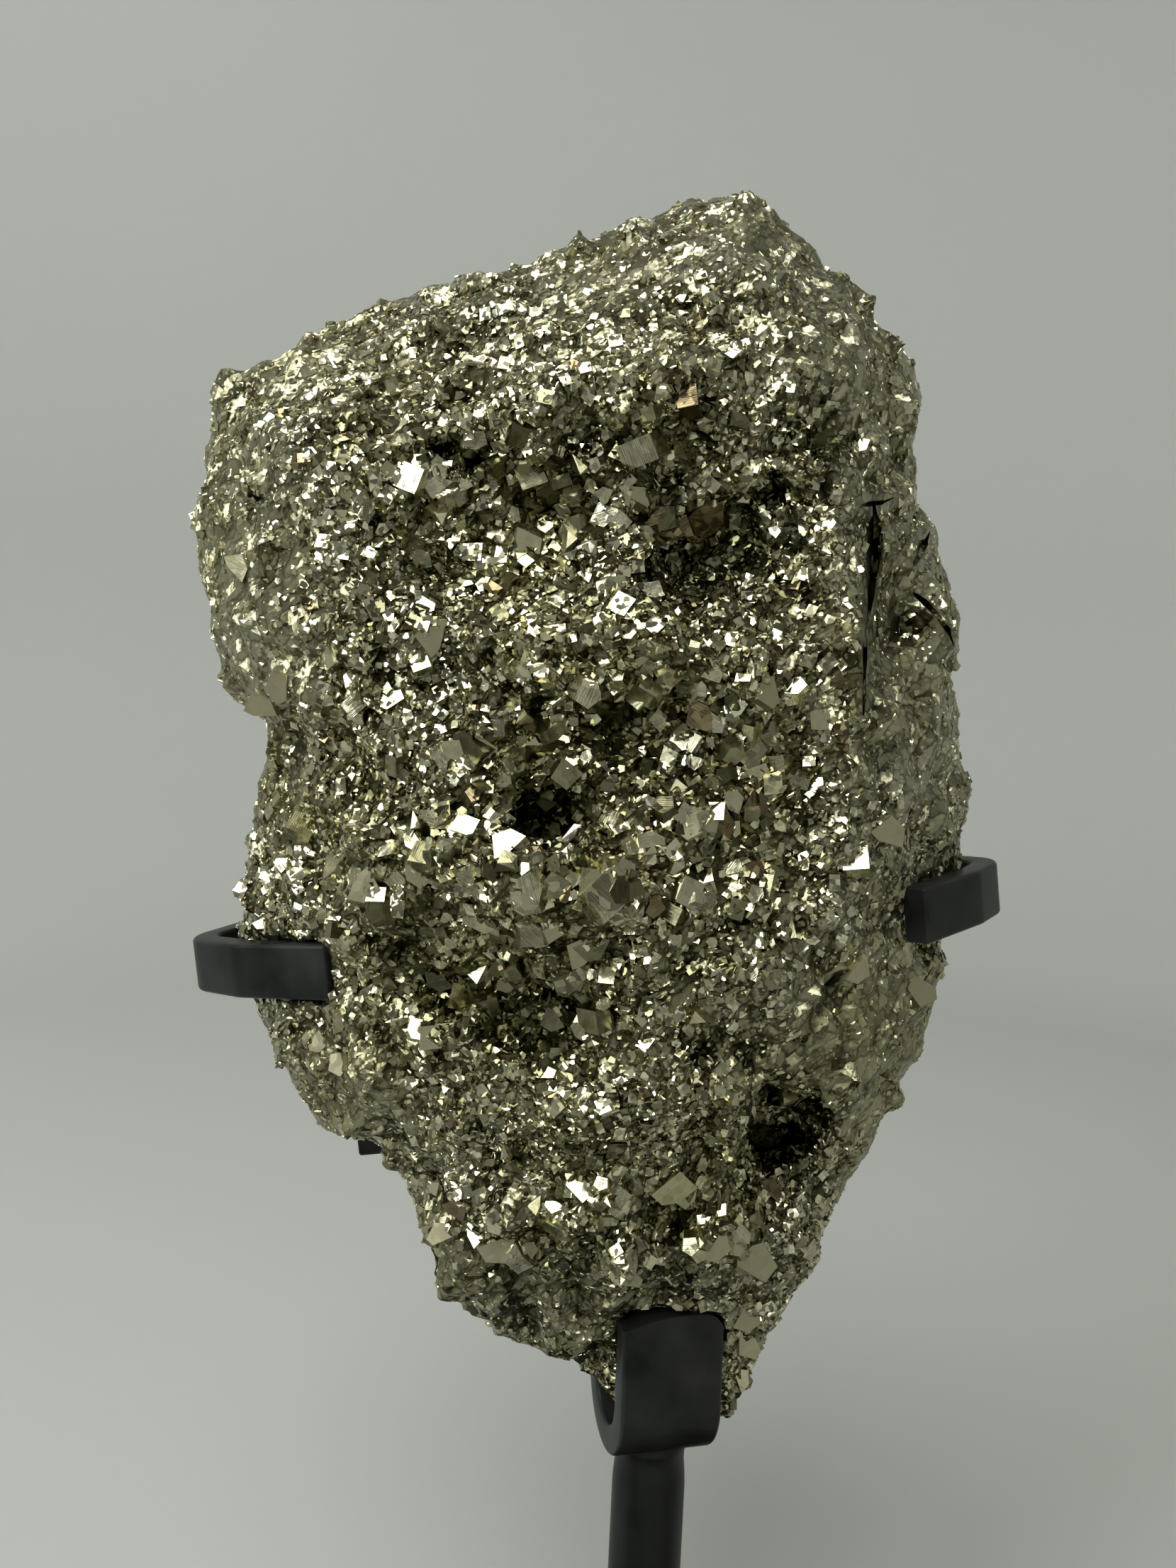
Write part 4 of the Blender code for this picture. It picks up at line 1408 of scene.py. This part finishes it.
class PYRITE_OT_block_crystals(bpy.types.Operator):
    """Grow the block crystals in the hollows"""

    bl_idname = "pyrite.block_crystals"
    bl_label = "Block crystals"

    def execute(self, context):
        looks = context.scene.stone_looks
        shapes = shape_collection("block_shapes", BLOCK_SHAPES)
        material = material_once("pyrite_block", pyrite_material, looks)
        tree = crystal_tree("Block crystals", shapes, material, BLOCK_TURN_SPREAD)
        growth = BLOCK_GROWTH | {
            "Spacing": looks.block_spacing, "Smallest": looks.block_size * BLOCK_SMALLEST,
            "Largest": looks.block_size, "Cluster": looks.cluster * 0.5, "Seed": looks.seed + 20}
        grow("block_crystals_front", tree, (-FAR, FRONT_DEPTH, 0.0, FAR), growth)
        grow("block_crystals_back", tree, (FRONT_DEPTH, FAR, 0.0, FAR), growth)
        drop_collection(shapes)
        return {"FINISHED"}


class PYRITE_OT_large_crystals(bpy.types.Operator):
    """Set the large crystals in their places on the front"""

    bl_idname = "pyrite.large_crystals"
    bl_label = "Large crystals"

    def execute(self, context):
        looks = context.scene.stone_looks
        material = material_once("pyrite_block", pyrite_material, looks)
        tree = mesh_tree(bpy.data.objects["stone_skin"].data)
        luck = random.Random(looks.seed)
        shape = bmesh.new()
        tones = []
        for x, y, size, kind, aim, finish in LARGE_CRYSTALS:
            ray = pixel_ray(x, y)
            place, normal = tree.ray_cast(CAMERA_PLACE, ray)[:2]
            if place is None:
                raise RuntimeError(f"No skin at pixel {x}, {y}")
            direction = self.face_direction(place, normal, aim)
            spin = Matrix.Rotation(luck.uniform(0, FULL_TURN), 3, "Z")
            turn = direction.to_track_quat("Z", "Y").to_matrix() @ spin
            stretch = Matrix.Diagonal((luck.uniform(0.85, 1.1), luck.uniform(0.8, 1.0), 0.8))
            sunk = place + ray * size * (GLINT_SUNK if aim == "glint" else LARGE_SUNK) * MM
            mesh = shape_mesh(kind)
            mesh.transform(Matrix.Translation(sunk) @ (turn @ stretch * size * MM).to_4x4())
            before = len(shape.verts)
            shape.from_mesh(mesh)
            tones += [TONES[finish]] * (len(shape.verts) - before)
            bpy.data.meshes.remove(mesh)
        mesh = mesh_from(shape, "large_crystals")
        store_values(mesh, "tone", tones)
        dress(new_object("large_crystals", mesh, [material]), STONE_SLOT)
        return {"FINISHED"}

    def face_direction(self, place, normal, aim):
        """The direction that a crystal's main face looks in."""
        to_viewer = (CAMERA_PLACE - place).normalized()
        if aim == "glint":
            return (to_viewer + (Vector(KEY_PLACE) - place).normalized()).normalized()
        across, up = (math.radians(angle) for angle in aim)
        turned = Matrix.Rotation(across, 3, "Z") @ to_viewer
        turned = (turned + Vector((0.0, 0.0, math.tan(up)))).normalized()
        return (turned + normal * ALONG_SKIN).normalized()


def strap_tree():
    """A tree that rolls a strap with rounded edges along a bent path."""
    tree, path = new_tree("Strap", {"Width": "Float", "Thickness": "Float", "Edge": "Float",
                                    "Bend": "Float", "Material": "Material"})
    bent = path.node("GeometryNodeFilletCurve", {"mode": "POLY"}, {
        "Curve": path, "Count": BEND_STEPS, "Radius": path.other("Bend"), "Limit Radius": True})
    level = bent.node("GeometryNodeSetCurveNormal", {"mode": "Z_UP"}, {"Curve": bent})
    outline = path.node("GeometryNodeCurvePrimitiveQuadrilateral", {}, {
        "Width": path.other("Thickness"), "Height": path.other("Width")})
    rounded = outline.node("GeometryNodeFilletCurve", {"mode": "POLY"}, {
        "Curve": outline, "Count": 4, "Radius": path.other("Edge"), "Limit Radius": True})
    rolled = level.node("GeometryNodeCurveToMesh", {}, {
        "Curve": level, "Profile Curve": rounded, "Fill Caps": True})
    finish_tree(rolled, path.other("Material"))
    return tree


def upright_placing(turn):
    """Stands a flat outline of depth and height upright, turned about the post's axis."""
    upright = Matrix(((0, 0, 1, 0), (1, 0, 0, 0), (0, 1, 0, 0), (0, 0, 0, 1)))
    return Matrix.Rotation(turn, 4, "Z") @ upright


def tilted_placing(height):
    """Lays a flat outline level and tilts it about the depth axis, at a height."""
    return Matrix.Translation((0, 0, height * MM)) @ Matrix.Rotation(-CLAW_TILT, 4, "Y")


def arc(centre, radius, first, last, steps):
    """Points of a circle's arc between two angles."""
    angles = [first + (last - first) * step / steps for step in range(steps + 1)]
    return [(centre[0] + radius * math.cos(angle), centre[1] + radius * math.sin(angle))
            for angle in angles]


def hook_path():
    """The hook's middle line, as depth and height: lip, round bottom and back leg."""
    radius = (HOOK_DEPTH - HOOK_THICKNESS) / 2
    bottom = arc((0.0, HOOK_BOTTOM + HOOK_DEPTH / 2), radius, math.pi, FULL_TURN, BEND_STEPS * 3)
    return [(LIP_LEAN - radius, LIP_TOP)] + bottom + [(radius, HOOK_LEG_TOP)]


def store_rims(mesh):
    """Mark the rounded rims of a piece, where its paint is rubbed thin."""
    shape = shape_of(mesh)
    values = [min(1.0, max(edge.calc_face_angle(0.0) for edge in vertex.link_edges) * 3.0)
              for vertex in shape.verts]
    shape.free()
    store_values(mesh, "rim", values)


def finished_piece(name, mesh, material, bevel, node):
    """Round a made piece's sharp edges, shade it, mark its rims and dress it."""
    shape = shape_of(mesh)
    clean(shape)
    put_back(shape, mesh)
    mesh.materials.clear()
    piece = new_object(name, mesh, [material])
    rounding = piece.modifiers.new("Rounded ends", "BEVEL")
    rounding.width = bevel
    rounding.segments = 3
    rounding.limit_method = "ANGLE"
    rounding.angle_limit = BEVEL_ANGLE
    keep_evaluated(piece)
    piece.data.shade_smooth()
    piece.data.set_sharp_from_angle(angle=SHARP_ANGLE)
    store_rims(piece.data)
    dress(piece, PAINT_SLOT, node)


def lip_die():
    """A tall block whose top has the hook lip's slope, crown and rounded right corner."""
    half = HOOK_WIDTH / 2
    left, inner = -half - 2, half - LIP_CORNER
    outline = [(left, HOOK_BOTTOM - 5), (half, HOOK_BOTTOM - 5)]
    outline += arc((inner, LIP_TOP - LIP_CORNER), LIP_CORNER, 0.0, math.pi / 2, ROUND_STEPS)
    for step in range(1, ROUND_STEPS + 1):
        share = step / ROUND_STEPS
        x = inner + (left - inner) * share
        crown = LIP_CROWN * math.sin(math.pi * share)
        outline.append((x, LIP_TOP + (x - inner) * math.tan(LIP_SLOPE) + crown))
    curve = flat_curve("lip_die", outline, "2D")
    curve.fill_mode = "BOTH"
    curve.extrude = HOOK_DEPTH * MM
    curve.splines[0].use_cyclic_u = True
    guide = new_object("lip_die", curve)
    shape = shape_of(evaluated_mesh(guide))
    bpy.data.objects.remove(guide, do_unlink=True)
    clean(shape)
    shape.transform(Matrix.Rotation(HOOK_TURN, 4, "Z") @ Matrix.Rotation(math.pi / 2, 4, "X"))
    return mesh_from(shape, "lip_die")


def packing_mesh():
    """The wedge that fills the space between the hook's turned leg and the spine."""
    root = SPINE_POINTS[0][0] - SPINE_THICKNESS / 2 + PACKING_ROOT
    corners = []
    for x in PACKING_SIDES:
        leg = (HOOK_DEPTH / 2 - PACKING_BITE + x * math.sin(HOOK_TURN)) / math.cos(HOOK_TURN)
        corners += [Vector((x, y, z)) * MM for y in (leg, root) for z in PACKING_HEIGHTS]
    return mesh_from(hull(corners), "packing")


def combined(mesh, other_mesh, operation):
    """One mesh cut to, or joined with, another."""
    item = new_object("first_mesh", mesh)
    other = new_object("second_mesh", other_mesh)
    joint = item.modifiers.new("Combined", "BOOLEAN")
    joint.operation = operation
    joint.solver = "EXACT"
    joint.object = other
    result = evaluated_mesh(item)
    bpy.data.objects.remove(item, do_unlink=True)
    bpy.data.objects.remove(other, do_unlink=True)
    return result


class PYRITE_OT_straps(bpy.types.Operator):
    """Roll the stand's straps: hook, spine, claw bar and lower bar"""

    bl_idname = "pyrite.straps"
    bl_label = "Straps"

    def execute(self, context):
        looks = context.scene.stand_looks
        material = material_once("satin_black", paint_material, looks)
        tree = strap_tree()
        lower = [(end, LOWER_Y) for end in LOWER_ENDS]
        straps = {
            "hook_strap": ("hook", hook_path(), HOOK_THICKNESS, HOOK_WIDTH, 0.0,
                           upright_placing(HOOK_TURN)),
            "spine_strap": ("spine", SPINE_POINTS, SPINE_THICKNESS, SPINE_WIDTH, SPINE_BEND,
                            upright_placing(0.0)),
            "claw_strap": ("claw_bar", LEFT_FINGER + RIGHT_FINGER, CLAW_THICKNESS, CLAW_HEIGHT,
                           CLAW_BEND, tilted_placing(CLAW_MIDDLE_Z)),
            "lower_strap": ("lower_bar", lower, CLAW_THICKNESS, CLAW_HEIGHT, 0.0,
                            tilted_placing(LOWER_MIDDLE_Z)),
        }
        for name, (node, points, thickness, width, bend, placing) in straps.items():
            path = new_object(name + "_path", flat_curve(name + "_path", points, "3D"))
            mesh = run_tree(path, tree, {
                "Width": width * MM, "Thickness": thickness * MM, "Edge": looks.edge,
                "Bend": bend * MM, "Material": material})
            bpy.data.objects.remove(path, do_unlink=True)
            mesh.transform(placing)
            if name == "hook_strap":
                mesh = combined(mesh, lip_die(), "INTERSECT")
            if name == "spine_strap":
                mesh = combined(mesh, packing_mesh(), "UNION")
            finished_piece(name, mesh, material, looks.edge * END_ROUNDING, node)
        return {"FINISHED"}


def turned_shape(profile, segments):
    """A closed round bmesh from its profile of radius and height, in millimetres."""
    shape = bmesh.new()
    corners = [shape.verts.new((radius * MM, 0.0, height * MM)) for radius, height in profile]
    edges = [shape.edges.new(pair) for pair in zip(corners, corners[1:])]
    bmesh.ops.spin(shape, geom=corners + edges, cent=(0, 0, 0), axis=(0, 0, 1),
                   angle=FULL_TURN, steps=segments, use_merge=True)
    clean(shape)
    return shape


class PYRITE_OT_post_and_foot(bpy.types.Operator):
    """Turn the post with its weld and the round foot"""

    bl_idname = "pyrite.post_and_foot"
    bl_label = "Post and foot"

    def execute(self, context):
        radius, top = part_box("base")[1].x / MM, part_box("base")[1].z / MM
        inner = radius - FOOT_EDGE
        foot = [(0.0, 0.0)]
        foot += arc((inner, FOOT_EDGE), FOOT_EDGE, -math.pi / 2, 0.0, ROUND_STEPS)
        foot += arc((inner, top - FOOT_EDGE), FOOT_EDGE, 0.0, math.pi / 2, ROUND_STEPS)
        self.turn("foot_plate", foot + [(0.0, top)], FOOT_SEGMENTS, "base")
        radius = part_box("post")[1].x / MM
        post = [(0.0, top)]
        post += [(radius + FOOT_WELD * math.exp(-step / WELD_STEEPNESS), top + WELD_STEP * step)
                 for step in range(9)]
        post += [(radius + wider, HOOK_BOTTOM + higher) for wider, higher in POST_WELD]
        self.turn("post_rod", post + [(0.0, HOOK_BOTTOM + 4.0)], POST_SEGMENTS, "post")
        return {"FINISHED"}

    def turn(self, name, profile, segments, node):
        """Turn and finish one round piece."""
        looks = bpy.context.scene.stand_looks
        material = material_once("satin_black", paint_material, looks)
        mesh = mesh_from(turned_shape(profile, segments), name)
        finished_piece(name, mesh, material, looks.edge * DISC_ROUNDING, node)


def add_light(name, place, target, size, power, colour):
    """A soft area light aimed at a target."""
    data = bpy.data.lights.new(name, "AREA")
    data.shape = "RECTANGLE"
    data.size, data.size_y = size
    data.energy = power
    data.color = colour
    lamp = bpy.data.objects.new(name, data)
    lamp.location = place
    lamp.rotation_euler = (Vector(target) - Vector(place)).to_track_quat("-Z", "Y").to_euler()
    bpy.context.scene.collection.objects.link(lamp)


class PYRITE_OT_stage(bpy.types.Operator):
    """Set up the floor, backdrop, lights and camera"""

    bl_idname = "pyrite.stage"
    bl_label = "Stage"

    def execute(self, context):
        scene = context.scene
        looks = scene.stage_looks
        self.floor(looks)
        middle = (Vector(CAD_BOX[0]) + Vector(CAD_BOX[1])) / 2
        for name, place, target, size, power, colour in (
                ("overhead_light", KEY_PLACE, middle, KEY_SIZE, looks.key_power, WARM),
                ("front_light", FRONT_PLACE, middle, FRONT_SIZE, looks.front_power, COOL),
                ("wall_light", WALL_PLACE, WALL_TARGET, WALL_SIZE, looks.wall_power, WHITE)):
            add_light(name, place, target, size, power, colour)
        self.room(scene, looks)
        scene.view_settings.view_transform = "Standard"
        self.camera(scene)
        return {"FINISHED"}

    def room(self, scene, looks):
        """A dim room of light and dark patches, which the crystals mirror."""
        world = bpy.data.worlds.new("room")
        world.use_nodes = True
        start = Wire(world.node_tree)
        direction = start.coordinates("Generated")
        patches = start.noise(direction, 2.6, 3.0).stepped(*ROOM_STEPS)
        down = start.node("ShaderNodeSeparateXYZ", {}, {"Vector": direction}, "Z") * -2.5
        plug_all(world.node_tree.nodes["Background"], {
            "Color": patches, "Strength": (down.clamped() * 0.8 + 1.0) * looks.room})
        scene.world = world

    def floor(self, looks):
        """A round floor that curves up to a wall; the front half isn't mirrored in the object."""
        flat, curve = (STAGE_RADIUS - STAGE_CURVE) / MM, STAGE_CURVE / MM
        profile = [(0.0, -STAGE_DROP), (flat * 0.5, -STAGE_DROP)]
        profile += arc((flat, curve - STAGE_DROP), curve, -math.pi / 2, 0.0, STAGE_STEPS)
        profile.append((STAGE_RADIUS / MM, STAGE_HEIGHT / MM))
        paper = paper_material("pale_paper", looks)
        for name, side in (("backdrop_rear", 1), ("backdrop_front", -1)):
            shape = turned_shape(profile, STAGE_SEGMENTS)
            away = [face for face in shape.faces if face.calc_center_median().y * side < 0]
            bmesh.ops.delete(shape, geom=away, context="FACES")
            mesh = mesh_from(shape, name)
            mesh.flip_normals()
            mesh.shade_smooth()
            sheet = new_object(name, mesh, [paper])
            sheet.visible_glossy = side > 0

    def camera(self, scene):
        """The camera at the photograph's place and angle."""
        right, up, forward = camera_axes()
        data = bpy.data.cameras.new("camera")
        data.sensor_width = SENSOR_SIZE
        data.lens = FOCAL_PIXELS / max(PHOTO_SIZE) * SENSOR_SIZE
        data.clip_start = 0.01
        camera = bpy.data.objects.new("camera", data)
        turn = Matrix((right, up, -forward)).transposed()
        camera.matrix_world = Matrix.Translation(CAMERA_PLACE) @ turn.to_4x4()
        scene.collection.objects.link(camera)
        scene.camera = camera


class PYRITE_PT_panel(bpy.types.Panel):
    """The specimen's settings and pieces"""

    bl_idname = "PYRITE_PT_panel"
    bl_label = "Pyrite Specimen"
    bl_space_type = "VIEW_3D"
    bl_region_type = "UI"
    bl_category = "Pyrite"

    def draw(self, context):
        scene = context.scene
        for title, group in (("Stone", scene.stone_looks), ("Stand", scene.stand_looks),
                             ("Stage", scene.stage_looks)):
            box = self.layout.box()
            box.label(text=title)
            for name in group.__annotations__:
                box.prop(group, name)
        for operator in OPERATORS:
            self.layout.operator(operator.bl_idname)


GROUPS = {"stone_looks": StoneLooks, "stand_looks": StandLooks, "stage_looks": StageLooks}
OPERATORS = (PYRITE_OT_skin, PYRITE_OT_fine_crystals, PYRITE_OT_block_crystals,
             PYRITE_OT_large_crystals, PYRITE_OT_straps, PYRITE_OT_post_and_foot,
             PYRITE_OT_stage)


def register():
    """Make the settings, operators and panel known."""
    for name, group in GROUPS.items():
        bpy.utils.register_class(group)
        setattr(bpy.types.Scene, name, PointerProperty(type=group))
    for item in OPERATORS + (PYRITE_PT_panel,):
        bpy.utils.register_class(item)


def unregister():
    """Forget the settings, operators and panel."""
    for item in (PYRITE_PT_panel,) + OPERATORS[::-1]:
        bpy.utils.unregister_class(item)
    for name, group in GROUPS.items():
        delattr(bpy.types.Scene, name)
        bpy.utils.unregister_class(group)


def main():
    """Build every piece in order."""
    register()
    bpy.ops.pyrite.skin()
    bpy.ops.pyrite.fine_crystals()
    bpy.ops.pyrite.block_crystals()
    bpy.ops.pyrite.large_crystals()
    bpy.ops.pyrite.straps()
    bpy.ops.pyrite.post_and_foot()
    bpy.ops.pyrite.stage()


if __name__ == "__main__":
    main()
